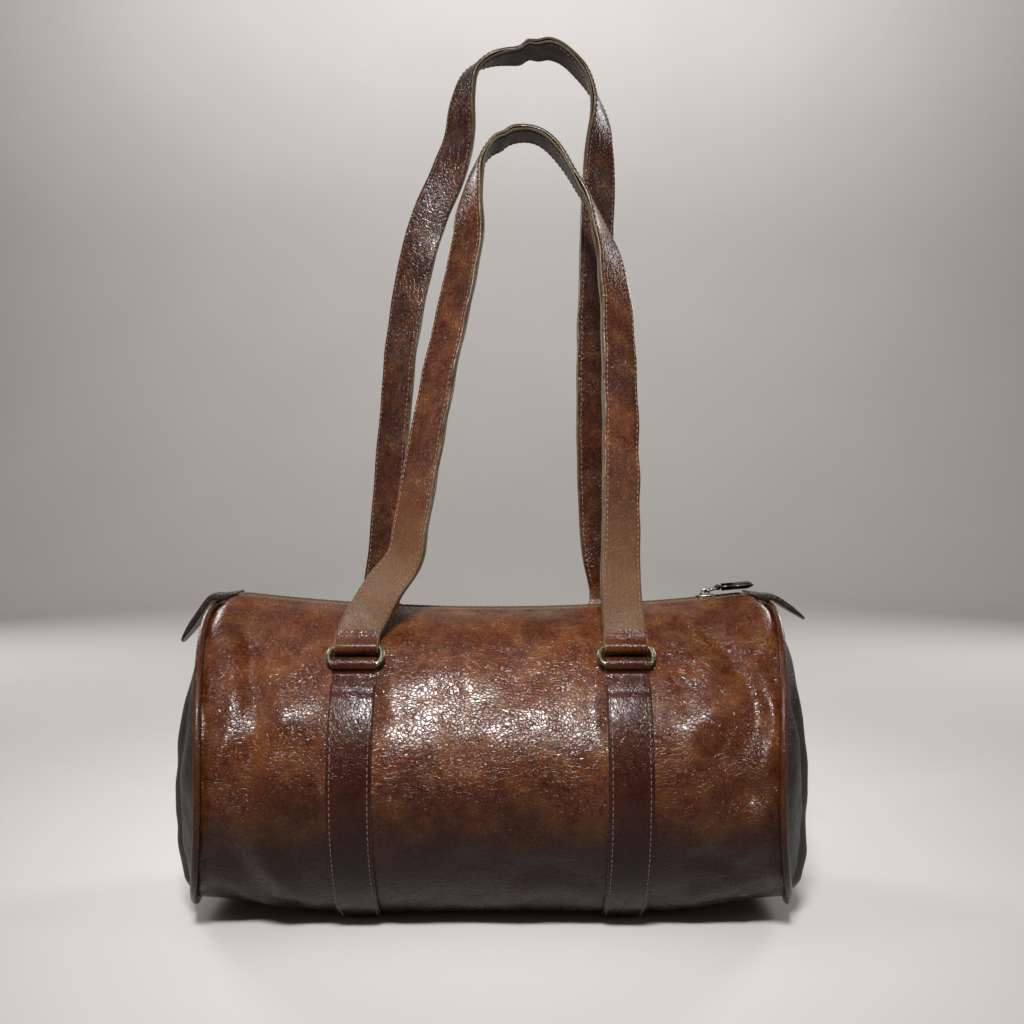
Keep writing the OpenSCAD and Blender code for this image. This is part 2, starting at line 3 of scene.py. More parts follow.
import bmesh
import bpy
import numpy as np
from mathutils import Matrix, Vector


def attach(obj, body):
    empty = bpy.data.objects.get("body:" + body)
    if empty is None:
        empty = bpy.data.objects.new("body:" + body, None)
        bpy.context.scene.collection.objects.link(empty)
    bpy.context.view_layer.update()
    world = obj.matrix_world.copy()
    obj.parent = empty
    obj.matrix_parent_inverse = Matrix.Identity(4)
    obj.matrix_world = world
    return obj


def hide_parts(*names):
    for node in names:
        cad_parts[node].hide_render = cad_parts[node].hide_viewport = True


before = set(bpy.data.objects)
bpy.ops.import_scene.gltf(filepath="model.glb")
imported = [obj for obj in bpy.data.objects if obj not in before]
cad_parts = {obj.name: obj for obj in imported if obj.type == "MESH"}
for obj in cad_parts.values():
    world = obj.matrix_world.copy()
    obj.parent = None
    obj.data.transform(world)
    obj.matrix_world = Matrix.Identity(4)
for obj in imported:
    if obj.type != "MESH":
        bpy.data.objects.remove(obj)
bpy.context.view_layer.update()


# --- Body panel ---------------------------------------------------------------
# One hide of pebbled cowhide, 1.6 mm thick, wrapped round the barrel from one zip edge under the
# belly to the other. It is burnished by hand and glazed; both zip edges are folded and sewn.
MM = 0.001
barrel_r = 81 * MM
seam_half = 152 * MM
leather_t = 1.6 * MM
under_z = 2.3 * MM
axis_z = under_z + barrel_r - 5.8 * MM
base_rise = 10 * MM
rise_from_share = 0.58
flat_soft = 1.5 * MM
zip_half = seam_half - 16 * MM
zip_sag = 8 * MM
zip_r = (zip_half ** 2 + zip_sag ** 2) / (2 * zip_sag)
zip_lift = 1.6 * MM
zip_axis_z = axis_z + barrel_r + zip_lift + zip_r
end_drop = 8 * MM
seam_draw = 12 * MM
seam_splay = 5 * MM
mouth_w = 12 * MM
mouth_deg = math.degrees(math.asin(mouth_w / 2 / barrel_r))
band_x = 68 * MM
hands = ((-1, "left"), (1, "right"))


def ease(share):
    """Smooth step: 3 s^2 - 2 s^3 of the share kept between 0 and 1."""
    s = np.clip(share, 0, 1)
    return s * s * (3 - 2 * s)


def bell(distance, width):
    """Bell curve: e to the minus square of the distance over the width."""
    return np.exp(-((distance / width) ** 2))


def top_line(x):
    """Height of the opening: a sagging arc between the zip's ends, then a late fall to the seams."""
    ax = np.abs(x)
    arc = zip_axis_z - np.sqrt(zip_r ** 2 - np.minimum(ax, zip_half) ** 2)
    return arc - end_drop * ease(np.clip((ax - zip_half) / (seam_half - zip_half), 0, 1) ** 1.6)


def rise(x):
    """Rise of the underside towards the end seams."""
    return base_rise * ease((np.abs(x) / seam_half - rise_from_share) / (1 - rise_from_share))


def skin(x, turn, off=0.0):
    """Point of the barrel at x, turned in degrees from the rear over the top, moved out by off.

    A circle of the barrel's radius, drawn up to the top line by sin^8 and lifted at the ends by
    sin^2, then kept above the underside's level with a soft corner.
    """
    x, turn, off = np.broadcast_arrays(np.asarray(x, float), np.asarray(turn, float), off)
    sine, cosine = np.sin(np.radians(turn)), np.cos(np.radians(turn))
    r = barrel_r + off
    crest = (top_line(x) - axis_z - barrel_r) * np.maximum(sine, 0) ** 8
    z = axis_z + r * sine + crest + rise(x) * np.maximum(-sine, 0) ** 2
    low = under_z + rise(x) - off
    soft = low + np.clip(z - low + flat_soft, 0, 2 * flat_soft) ** 2 / (4 * flat_soft)
    z = np.where(z - low > flat_soft, z, soft)
    return np.stack([x, r * cosine, z], axis=-1)


def seam_x(turn):
    """Place of the end seam round the barrel: drawn in at front and rear, spread underneath."""
    sine, cosine = np.sin(np.radians(turn)), np.cos(np.radians(turn))
    return seam_half - seam_draw * cosine ** 2 + seam_splay * np.maximum(-sine, 0) ** 2


def waves(a, b, length, seed, count=9):
    """Smooth uneven field: the mean of sine waves of about one length in random directions."""
    rng = np.random.default_rng(seed)
    total = np.zeros(np.broadcast(a, b).shape)
    for _ in range(count):
        angle, phase = rng.uniform(0, 2 * np.pi, 2)
        k = 2 * np.pi / (length * rng.uniform(0.7, 1.4))
        total += np.sin(k * (a * np.cos(angle) + b * np.sin(angle)) + phase)
    return total / math.sqrt(count)


fold_depth = 1.6


def folds(x, up, rows):
    """Sum of long soft folds: a bell across each line, faded towards the line's two ends.

    Each row is x0, up0, x1, up1, half width and height, in millimetres and degrees above level. A
    line bows aside by an eighth of its length, and every height is multiplied by the fold depth.
    """
    total = np.zeros(x.shape)
    arc = np.radians(1) * barrel_r
    for x0, up0, x1, up1, width, height in rows:
        a = np.array([x0 * MM, up0 * arc])
        line = np.array([x1 * MM, up1 * arc]) - a
        length = np.linalg.norm(line)
        dx, ds = x - a[0], up * arc - a[1]
        along = (dx * line[0] + ds * line[1]) / length
        aside = (dx * line[1] - ds * line[0]) / length
        aside = aside + 0.12 * length * np.sin(np.pi * np.clip(along / length, 0, 1)) - 0.05 * length
        before, after = along + width * MM, length + width * MM - along
        reach = np.clip(before / length, 0, 1) * np.clip(after / length, 0, 1)
        total += fold_depth * height * MM * bell(aside, width * MM) * ease(4 * reach)
    return total


# the main folds, those at the left and right of the front as they lie in the photograph
front_folds = [
    (-121, 60, -122, -22, 7, -1.7), (-131, 62, -133, 0, 5, 0.9), (-109, 50, -112, -10, 9, 0.9),
    (-118, -8, -104, -45, 9, 1.2), (-126, -20, -112, -55, 7, -1.2), (-96, 20, -100, -30, 10, -0.7),
    (134, 50, 134, 5, 5, 0.9), (123, 55, 125, 10, 7, -1.2), (104, 67, 122, 45, 7, -1.4),
    (92, 8, 112, 30, 7, 0.9), (111, 14, 128, 0, 7, -1.5), (102, -10, 126, 2, 6, -1.2),
    (104, -22, 128, -42, 8, -1.3), (96, -18, 110, 4, 8, 0.8), (116, -30, 130, -58, 7, 1.0),
    (20, -28, 48, -34, 8, -0.6), (-46, 30, -20, 38, 9, -0.5), (-30, -20, 14, -16, 9, 0.5),
]
rear_folds = [
    (-120, 55, -124, -10, 8, -1.5), (-131, 50, -132, -10, 5, 0.8), (-106, 10, -124, -30, 8, -1.1),
    (121, 60, 123, -20, 8, -1.6), (132, 55, 133, 0, 5, 0.8), (106, 40, 98, -10, 9, -0.8),
    (108, -20, 126, -50, 8, 1.0), (-100, -20, -112, -50, 8, 0.9), (-20, 20, 16, 28, 10, -0.6),
]


slack_depth, slack_up, slack_half_turn, slack_half_x, slack_fade = 3.2 * MM, 31, 30, 76 * MM, 26 * MM


def relief(x, turn):
    """Height of the panel's folds over the smooth barrel, calm at the seams, bands and zip.

    Waves 46 and 19 mm long lie under the folds, a puff stands 9 mm inside each seam, and a slack
    hollow, a squared cosine across, lies high in front between the bands.
    """
    s = np.radians(turn - 180) * barrel_r
    front = folds(x, 180 - turn, front_folds)
    rear = folds(x, turn - 360, rear_folds)
    ends = ease((np.abs(x) - 84 * MM) / (40 * MM))
    uneven = (waves(x, s, 46 * MM, 3) * (0.40 + 0.5 * ends)
              + waves(x, s, 19 * MM, 4) * (0.14 + 0.30 * ends))
    aside = np.clip((180 - turn - slack_up - 0.1 * x / MM) / slack_half_turn, -1, 1)
    slack = slack_depth * np.cos(np.pi / 2 * aside) ** 2 * ease((slack_half_x - np.abs(x)) / slack_fade)
    puff = 0.8 * MM * bell(seam_x(turn) - np.abs(x) - 9 * MM, 5 * MM)
    height = front + rear + uneven * MM + puff - slack
    at_seam = ease((seam_x(turn) - np.abs(x)) / (5 * MM))
    at_band = 1 - 0.9 * np.exp(-(((np.abs(x) - band_x) / (13 * MM)) ** 4))
    at_zip = ease((np.abs(turn - 270) - 176 + mouth_deg) / -8)
    flat = ease((axis_z + barrel_r * np.sin(np.radians(turn)) - under_z - rise(x)) / (9 * MM))
    return height * at_seam * at_band * at_zip * (0.25 + 0.75 * flat)


def unit(v):
    """The same direction with a length of one."""
    return v / np.maximum(np.linalg.norm(v, axis=-1, keepdims=True), 1e-12)


def signed_volume(verts, polygons):
    """Six times the volume inside: the sum of the triple products over a fan of each face."""
    return sum(np.einsum("ij,ij->", verts[p[:, 0]], np.cross(verts[p[:, c]], verts[p[:, c + 1]]))
               for p in polygons for c in range(1, p.shape[1] - 1))


def placed(name, data):
    """New object of a mesh, lamp or camera, put into the scene."""
    piece = bpy.data.objects.new(name, data)
    bpy.context.scene.collection.objects.link(piece)
    return piece


def from_faces(name, points, faces, sharp=None):
    """Smooth mesh object of points and faces, with its edges hard above the sharp angle."""
    mesh = bpy.data.meshes.new(name)
    mesh.from_pydata(points.reshape(-1, 3).tolist(), [], faces)
    mesh.polygons.foreach_set("use_smooth", np.ones(len(mesh.polygons), bool))
    if sharp:
        mesh.set_sharp_from_angle(angle=math.radians(sharp))
    mesh.update()
    return placed(name, mesh)


def grid_uv(along, across):
    """UV of every point of a grid from its distance along and its distance across, in metres."""
    return np.stack(np.broadcast_arrays(along, across), axis=-1)


def surface(name, points, uv=None, join_rows=False, caps="strip", sharp=38):
    """Mesh of a grid of points, as quads between neighbouring rows and columns.

    Each row closes on itself, and the rows too if they are joined; uv then has one more of each,
    or uses its first column again. Without a uv the rows and columns count as a millimetre. Open
    rows end in a strip across a thin loop, or in a fan from a loop's middle. The faces are turned
    over if the volume that they enclose comes out negative.
    """
    m, n = points.shape[:2]
    if uv is None:
        uv = grid_uv(np.arange(m + join_rows)[:, None], np.arange(n + 1)[None]) * MM
    if uv.shape[1] == n:
        uv = np.concatenate([uv, uv[:, :1]], axis=1)
    uv = np.broadcast_to(uv, (m + join_rows, n + 1, 2))
    i, j = np.meshgrid(np.arange(m - (not join_rows)), np.arange(n), indexing="ij")
    i, j = i.ravel(), j.ravel()
    corners = [(i, j), (i, j + 1), (i + 1, j + 1), (i + 1, j)]
    quads = np.stack([(a % m) * n + b % n for a, b in corners], axis=1)
    quad_uv = np.stack([uv[a, b] for a, b in corners], axis=1)
    verts = points.reshape(-1, 3)
    flat_uv = uv[:m, :n].reshape(-1, 2)
    polygons, loops_uv = [quads], [quad_uv.reshape(-1, 2)]
    if caps == "strip":
        k = np.arange(n // 2 - 1)
        first = np.stack([k + 1, k, n - 1 - k, n - 2 - k], axis=1)
        polygons += [first, first[:, ::-1] + (m - 1) * n]
        loops_uv += [flat_uv[p].reshape(-1, 2) for p in polygons[1:]]
    if caps == "fan":
        k = np.arange(n)
        after = (k + 1) % n
        for row, a, b in ((0, after, k), (m - 1, k, after)):
            middle = np.full(n, len(verts))
            verts = np.vstack([verts, points[row].mean(axis=0)])
            flat_uv = np.vstack([flat_uv, uv[row, :n].mean(axis=0)])
            fan = np.stack([middle, row * n + a, row * n + b], axis=1)
            polygons.append(fan)
            loops_uv.append(flat_uv[fan].reshape(-1, 2))
    if signed_volume(verts, polygons) < 0:
        loops_uv = [u.reshape(len(p), -1, 2)[:, ::-1].reshape(-1, 2)
                    for p, u in zip(polygons, loops_uv)]
        polygons = [p[:, ::-1] for p in polygons]
    piece = from_faces(name, verts, [face for p in polygons for face in p.tolist()], sharp)
    layer = piece.data.uv_layers.new(name="metres")
    layer.data.foreach_set("uv", np.vstack(loops_uv).astype(np.float32).ravel())
    return piece


def colour(code, share=1.0):
    """Linear colour of an sRGB hex code, darkened to a share of its light."""
    part = np.array([int(code[k:k + 2], 16) / 255 for k in (1, 3, 5)])
    linear = np.where(part <= 0.04045, part / 12.92, ((part + 0.055) / 1.055) ** 2.4)
    return (*(share * linear).tolist(), 1.0)


def add(tree, kind, inputs=None, out=0, **settings):
    """Adds a node and gives one of its outputs, if it has any.

    settings are the node's own, and each input is a value, or a socket that is linked to it.
    """
    node = tree.nodes.new("ShaderNode" + kind)
    for key, value in settings.items():
        setattr(node, key, value)
    for key, value in (inputs or {}).items():
        if isinstance(value, bpy.types.NodeSocket):
            tree.links.new(value, node.inputs[key])
        else:
            node.inputs[key].default_value = value
    return node.outputs[out] if len(node.outputs) else node


def blank_material(name):
    """New material and its emptied node tree."""
    material = bpy.data.materials.new(name)
    material.use_nodes = True
    material.node_tree.nodes.clear()
    return material, material.node_tree


def leather(name, deep, mid, light, vein, pebble=2.2, depth=0.09, veins=0.42, rough=0.22, coat=0.06,
            stretch=1.35, edge=None, half=0.0, low=None, low_from=0.02, low_to=0.1, low_share=0.8,
            dull=0.0):
    """Glazed milled leather: flat pebbles between dark furrows, creases, and rubbed lighter crowns.

    pebble and depth are the grain's width and height in millimetres. Slow and fine noise bend its
    rows, and the creases are the lines where a drawn-out noise passes its middle value. vein
    colours fine pale lines over the furrows. edge is the colour of a cut edge that lies half away
    from the middle line. low is a colour that takes over by low_share from the height low_to down
    to low_from: painted shade towards the floor on the barrel, ends, piping and bands, and wear on
    the front strap. dull is how much gloss is lost there.
    """
    material, tree = blank_material(name)
    place = add(tree, "UVMap", uv_map="metres")
    grain = 1 / (pebble * MM)
    # places on the hide, bent by slow noise and a little by fine noise
    warped = place
    for scale, detail, shift in ((16.0, 1.0, 0.024), (260.0, 2.0, 0.0014)):
        bend = add(tree, "TexNoise", {"Vector": place, "Scale": scale, "Detail": detail}, out="Color")
        bend = add(tree, "VectorMath", {0: bend, 1: (-0.5, -0.5, -0.5)}, operation="ADD")
        warped = add(tree, "VectorMath", {0: bend, 1: (shift, shift, 0.0), 2: warped},
                     operation="MULTIPLY_ADD")
    rows = add(tree, "Mapping", {"Vector": warped, "Rotation": (0, 0, 0.35),
                                 "Scale": (1.0, stretch, 1.0)})
    cell = add(tree, "TexVoronoi", {"Vector": rows, "Scale": grain}, feature="DISTANCE_TO_EDGE")
    tide = add(tree, "Mapping", {"Vector": warped, "Rotation": (0, 0, -0.3),
                                 "Scale": (1.0, 2.4, 1.0)})
    wrinkle = add(tree, "TexNoise", {"Vector": tide, "Scale": 0.34 * grain, "Detail": 1.0})
    patch = add(tree, "TexNoise", {"Vector": place, "Scale": 22.0, "Detail": 3.0, "Roughness": 0.55})
    mottle = add(tree, "TexNoise", {"Vector": warped, "Scale": 170.0, "Detail": 3.0, "Roughness": 0.6})
    # the height: flat pebbles that swell a little, wrinkles, and creases that cross the grain
    bead = add(tree, "MapRange", {0: cell, 2: 0.11}, interpolation_type="SMOOTHSTEP")
    swell = add(tree, "MapRange", {0: cell, 2: 0.42}, interpolation_type="SMOOTHERSTEP")
    ridge = add(tree, "TexNoise", {"Vector": tide, "Scale": 0.2 * grain, "Detail": 3.0,
                                   "Roughness": 0.6})
    ridge = add(tree, "Math", {0: ridge, 1: -0.5}, operation="ADD")
    ridge = add(tree, "Math", {0: ridge}, operation="ABSOLUTE")
    crease = add(tree, "MapRange", {0: ridge, 2: 0.05}, interpolation_type="SMOOTHSTEP")
    milled = add(tree, "MapRange", {0: patch, 1: 0.36, 2: 0.60, 3: 0.75, 4: 1.0})
    height = add(tree, "Math", {0: swell, 1: 0.25, 2: bead}, operation="MULTIPLY_ADD")
    height = add(tree, "Math", {0: height, 1: milled}, operation="MULTIPLY")
    height = add(tree, "Math", {0: wrinkle, 1: 1.0, 2: height}, operation="MULTIPLY_ADD")
    height = add(tree, "Math", {0: crease, 1: 0.9, 2: height}, operation="MULTIPLY_ADD")
    bump = add(tree, "Bump", {"Strength": 1.0, "Distance": depth * MM, "Height": height})

    # the colours, each laid over the last by its own share
    tone = add(tree, "MapRange", {0: patch, 1: 0.30, 2: 0.62})
    rubbed = add(tree, "MapRange", {0: mottle, 1: 0.42, 2: 0.72, 4: 0.3})
    furrow = add(tree, "MapRange", {0: cell, 1: 0.0, 2: 0.18, 3: 0.9, 4: 0.0})
    pale_lines = add(tree, "MapRange", {0: cell, 1: 0.02, 2: 0.11, 3: veins, 4: 0.0})
    rub = add(tree, "TexNoise", {"Vector": place, "Scale": 60.0, "Detail": 4.0, "Roughness": 0.65})
    rub = add(tree, "MapRange", {0: rub, 1: 0.46, 2: 0.66})
    pale_lines = add(tree, "Math", {0: pale_lines, 1: rub}, operation="MULTIPLY")
    layers = [(tone, colour(mid)), (rubbed, colour(light)), (furrow, colour(deep, 0.4)),
              (pale_lines, colour(vein))]
    # painted shade towards the floor, except on the front strap, where the low colour is wear
    if low:
        level = add(tree, "SeparateXYZ", {0: add(tree, "TexCoord", out="Object")}, out=2)
        level = add(tree, "Math", {0: patch, 1: 0.03, 2: level}, operation="MULTIPLY_ADD")
        low_shade_and_wear = add(tree, "MapRange", {0: level, 1: low_from + 0.015, 2: low_to + 0.015,
                                       3: low_share, 4: 0.0}, interpolation_type="SMOOTHSTEP")
        layers.append((low_shade_and_wear, colour(low)))
    if edge:
        across = add(tree, "SeparateXYZ", {0: place}, out=1)
        aside = add(tree, "Math", {0: across}, operation="ABSOLUTE")
        ragged = add(tree, "Math", {0: mottle, 1: 0.0012, 2: aside}, operation="MULTIPLY_ADD")
        raw = add(tree, "MapRange", {0: ragged, 1: half + 0.0005, 2: half + 0.0009})
        layers.append((raw, colour(edge)))
    base = colour(deep)
    for share, over in layers:
        base = add(tree, "Mix", {0: share, 6: base, 7: over}, data_type="RGBA", out=2)
    gloss = add(tree, "MapRange", {0: mottle, 1: 0.3, 2: 0.7, 3: rough - 0.03, 4: rough + 0.08})
    if dull:
        gloss = add(tree, "Math", {0: low_shade_and_wear, 1: dull, 2: gloss}, operation="MULTIPLY_ADD")
    shader = add(tree, "BsdfPrincipled", {
        "Base Color": base, "Roughness": gloss, "Normal": bump, "IOR": 1.45, "Specular IOR Level": 0.2,
        "Coat Weight": coat, "Coat Roughness": 0.14, "Coat Normal": bump,
    })
    add(tree, "OutputMaterial", {0: shader})
    return material


def dress(piece, material, body, slot, *nodes):
    """Gives a piece its material and its body, and hides the solids it stands for. slot is not used."""
    piece.data.materials.clear()
    piece.data.materials.append(material)
    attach(piece, body)
    if nodes:
        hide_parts(*nodes)


# milled cowhide, chestnut over a darker ground, glazed: bright pebbles where the light falls. Its
# pebbles are 2.2 mm wide, coarser than the real hide's in places, so that they show.
# the near-black low colour is painted shade: it darkens the barrel towards the floor
body_leather = leather("glazed_milled_cowhide", "#351506", "#4c220b", "#683817", "#946638",
                       low="#120401", low_from=0.030, low_to=0.108, low_share=0.96,
                       edge="#4d3c27", half=247.4 * MM)
panel_rows, panel_columns, seam_in, hem_w, hem_h = 200, 224, 0.15 * MM, 6.5 * MM, 0.45 * MM
share = np.sin(np.linspace(-np.pi / 2, np.pi / 2, panel_rows))[:, None]
turns = np.linspace(90 + mouth_deg, 450 - mouth_deg, panel_columns)
panel_x = share * (seam_x(turns)[None] - seam_in)
edge_gap = np.radians(np.minimum(turns - turns[0], turns[-1] - turns)) * barrel_r
hem = hem_h * ease((hem_w - edge_gap) / (1.2 * MM)) * ease((edge_gap + 1.5 * MM) / (2 * MM))
outer = skin(panel_x, turns[None], relief(panel_x, turns[None]) + hem[None])
inner = skin(panel_x, turns[None], np.minimum(relief(panel_x, turns[None]), 0) - leather_t)
arc_s = np.radians(turns - 270) * barrel_r
panel_uv = grid_uv(panel_x, arc_s[None])
loop = np.concatenate([outer, inner[:, ::-1]], axis=1)
body_panel = surface("body_panel_leather", loop, np.concatenate([panel_uv, panel_uv[:, ::-1]], axis=1))
dress(body_panel, body_leather, "bag", "body_leather", "body_panel")


def from_rows(name, rows, sharp=None):
    """One mesh of many like solids: rows is copies x stations x points, each ended by its two caps."""
    copies, m, n = rows.shape[:3]
    i, j = np.meshgrid(np.arange(m - 1), np.arange(n), indexing="ij")
    after = (j + 1) % n
    quads = np.stack([i * n + j, i * n + after, (i + 1) * n + after, (i + 1) * n + j], axis=-1)
    quads = quads.reshape(-1, 4)
    caps = np.array([np.arange(n)[::-1], np.arange(n) + (m - 1) * n])
    if signed_volume(rows[0].reshape(-1, 3), (quads, caps)) < 0:
        quads, caps = quads[:, ::-1], caps[:, ::-1]
    base = m * n * np.arange(copies)[:, None, None]
    faces = [f for q in (quads, caps) for f in (base + q).reshape(-1, q.shape[1]).tolist()]
    return from_faces(name, rows, faces, sharp)


def stitches(name, start, end, up, thick):
    """Rows of short threads: each a five-sided tube that rises from one hole and dips to the next.

    The threads are one template of four stations, carried by its length, side and up directions
    to every place. Along is a share of the length; height and width are shares of half the thread.
    """
    along = np.array([-0.5, -0.3, 0.3, 0.5])
    rise_up, width = np.array([-0.7, 0.75, 0.75, -0.7]), np.array([0.5, 1.0, 1.0, 0.5])
    angle = 2 * np.pi * np.arange(5) / 5
    run = np.repeat(along, 5)
    aside = np.outer(width, np.cos(angle)).ravel()
    high = (rise_up[:, None] + np.outer(width, np.sin(angle))).ravel()
    line = end - start
    side = unit(np.cross(up, line))
    middle = (start + end) / 2
    half_t = thick / 2
    points = (middle[:, None] + run[None, :, None] * line[:, None]
              + half_t * (aside[None, :, None] * side[:, None] + high[None, :, None] * up[:, None]))
    return from_rows(name, points.reshape(len(start), 4, 5, 3))


def run_along(line):
    """Distance of each point from the first, along a line of points."""
    return np.concatenate([[0], np.cumsum(np.linalg.norm(np.diff(line, axis=0), axis=1))])


def sampled(values, length, at):
    """Each column of values, known at the distances length, read at the distances at."""
    return np.stack([np.interp(at, length, column) for column in values.T], axis=1)


def sewn(line, up, pitch, gap_share=0.24):
    """Start, end and up direction of evenly spaced stitches along a line of points."""
    length = run_along(line)
    count = max(1, int(length[-1] / pitch))
    begin = np.arange(count) * length[-1] / count
    stop = begin + (1 - gap_share) * length[-1] / count
    middle = sampled(up, length, (begin + stop) / 2)
    return sampled(line, length, begin), sampled(line, length, stop), unit(middle)


def joined(rows):
    """Several rows of stitches as one: their starts, their ends and their up directions."""
    return [np.vstack(part) for part in zip(*rows)]


def waxed_thread(name, code):
    """Waxed polyester thread: a twisted sheen from fine bands along the object."""
    material, tree = blank_material(name)
    place = add(tree, "TexCoord", out="Object")
    ply = add(tree, "TexNoise", {"Vector": place, "Scale": 1600.0, "Detail": 2.0})
    tone = add(tree, "MapRange", {0: ply, 1: 0.35, 2: 0.65})
    base = add(tree, "Mix", {0: tone, 6: colour(code, 0.55), 7: colour(code)}, data_type="RGBA", out=2)
    bump = add(tree, "Bump", {"Strength": 0.6, "Distance": 0.0001, "Height": ply})
    shader = add(tree, "BsdfPrincipled", {"Base Color": base, "Roughness": 0.55, "Normal": bump})
    add(tree, "OutputMaterial", {0: shader})
    return material


# waxed thread in dark khaki, three to the centimetre along the zip's folded edges
dark_thread = waxed_thread("waxed_thread_khaki", "#5a4630")
hem_x = np.linspace(-zip_half + 2 * MM, zip_half - 2 * MM, 400)
seams = []
for side in (-1, 1):
    hem_turn = 90 - side * (mouth_deg + math.degrees(2.6 * MM / barrel_r))
    row_turn = np.full(hem_x.shape, hem_turn if side < 0 else hem_turn + 360)
    seat = skin(hem_x, row_turn, relief(hem_x, row_turn) + 0.30 * MM)
    away = unit(seat - skin(hem_x, row_turn, -5 * MM))
    seams.append(sewn(seat, away, pitch=3.0 * MM))
zip_seam = stitches("zip_edge_stitching", *joined(seams), thick=0.4 * MM)
dress(zip_seam, dark_thread, "bag", "body_leather")


# --- End panels ---------------------------------------------------------------
# A round of the same hide closes each end. The stuffing domes it a little and it dents in slow
# waves, with one upright crease near the front. It is coloured darker than the barrel, and its low
# colour is painted shade towards the floor.
end_bulge, bulge_h, end_gap = 15 * MM, 62 * MM, 0.15 * MM
end_leather = leather("milled_cowhide_end", "#0f0905", "#191009", "#271910", "#483627",
                      pebble=2.6, veins=0.3, rough=0.46, low="#100906", low_share=0.6)


def dome(share, turn, off, side):
    """Point of an end panel, at a share of the way from its fullest point to its seam.

    Its reach past the seam falls off with the cube of the share; the rim follows the seam.
    """
    rim = skin(seam_x(turn), turn, off)
    mid_z = axis_z - barrel_r + bulge_h
    base_x = seam_half + (seam_x(turn) - seam_half) * share ** 2
    reach = base_x + (end_bulge + off) * (1 - share ** 3) + end_gap
    y = rim[..., 1] * share
    z = mid_z + (rim[..., 2] - mid_z) * share
    return np.stack([side * (reach + 0 * y), y, z], axis=-1)


def dents(share, turn, seed):
    """Depth of an end panel's dents: slow waves, an upright crease, calm at its rim.

    The waves are 60 and 22 mm long. The crease stands 50 mm in front of the middle, with a soft
    ridge 9 mm behind it, and fades out towards the top and the floor.
    """
    y = barrel_r * share * np.cos(np.radians(turn))
    z = barrel_r * share * np.sin(np.radians(turn))
    slow = 1.0 * waves(y, z, 60 * MM, seed) + 0.35 * waves(y, z, 22 * MM, seed + 1)
    bend = y + 50 * MM + 4 * MM * np.sin(z / (17 * MM))
    crease = -2.6 * bell(bend, 5 * MM) + 1.2 * bell(bend - 9 * MM, 5 * MM)
    crease = crease * ease((z + 74 * MM) / (20 * MM)) * ease((62 * MM - z) / (30 * MM))
    return MM * (slow + crease) * ease((1 - share) / 0.14)


for (side, word), seed in zip(hands, (21, 31)):
    ring_share = np.sin(np.linspace(0.02, np.pi / 2, 76))[:, None]
    ring_turn = np.linspace(0, 360, 200, endpoint=False)[None]
    drop = dents(ring_share, ring_turn, seed)
    front = dome(ring_share, ring_turn, 0, side)
    front[..., 0] += side * drop
    back = dome(ring_share, ring_turn, -leather_t, side)
    back[..., 0] += side * drop
    rows = np.concatenate([front, back[::-1]])
    panel = surface(f"end_panel_{word}_leather", rows, rows[..., 1:], caps="fan")
    dress(panel, end_leather, "bag", "end_leather", f"end_panel_{word}")


# --- Piping -------------------------------------------------------------------
# A cord in a narrow strip of smooth calf covers each end seam. The strip is drawn tight, so it
# shows the cord's round, a thin highlight and the faint ripple of the stitches that hold it.
piping_r, piping_pitch = 1.95 * MM, 3.2 * MM
# its low colour is painted shade towards the floor
piping_leather = leather("smooth_calf_piping", "#2c1308", "#44200e", "#5f3117", "#83512d",
                         pebble=1.4, depth=0.04, veins=0.3, low="#100603", low_share=0.8)


def wire_loop(line, out, radius, sides=12):
    """Rows of a round wire along a closed line, begun on the side of an outward direction."""
    ahead = unit(np.roll(line, -1, axis=0) - np.roll(line, 1, axis=0))
    across = unit(np.cross(ahead, out))
    up = np.cross(across, ahead)
    spin = np.radians(np.arange(0, 360, 360 / sides))[None, :, None]
    return line[:, None] + radius * (np.cos(spin) * up[:, None] + np.sin(spin) * across[:, None])


for side, word in hands:
    loop_turn = np.linspace(0, 360, 420, endpoint=False)
    seat = skin(seam_x(loop_turn), loop_turn, 2.1 * MM)
    seat[:, 0] *= side
    angle = np.radians(loop_turn)
    out = np.stack([0 * angle, np.cos(angle), np.sin(angle)], axis=1)
    length = angle * barrel_r
    radius = piping_r * (1 + 0.03 * np.sin(2 * np.pi * length / piping_pitch))
    rows = wire_loop(seat, out, radius[:, None, None])
    run = np.append(length, 2 * np.pi * barrel_r)
    girth = piping_r * np.linspace(0, 2 * np.pi, rows.shape[1] + 1)
    uv = grid_uv(run[:, None], girth[None])
    piece = surface(f"piping_{word}_leather", rows, uv, join_rows=True, caps=None)
    dress(piece, piping_leather, "bag", "piping_leather", f"piping_{word}")


# --- Bands --------------------------------------------------------------------
# Two straps of smooth dark bridle leather run under the belly from the front rings to the rear
# ones. Their edges are creased and sewn down through the hide with pale thread.
strap_w = 22 * MM
band_t = 2 * MM
seat_gap = 0.3 * MM
chape_l = 13 * MM
chape_front_deg, chape_rear_deg = 44.5, 54
# its near-black low colour is painted shade on the bands towards the floor
band_leather = leather("bridle_leather_dark", "#270b04", "#371206", "#481d0c", "#6b3d1c",
                       pebble=1.8, depth=0.07, veins=0.2, low="#0b0202", low_from=0.03,
                       low_to=0.115, low_share=0.95,
                       edge="#3d2a1a", half=strap_w / 2 - 0.3 * MM)
pale_thread = waxed_thread("waxed_thread_pale", "#66584a")


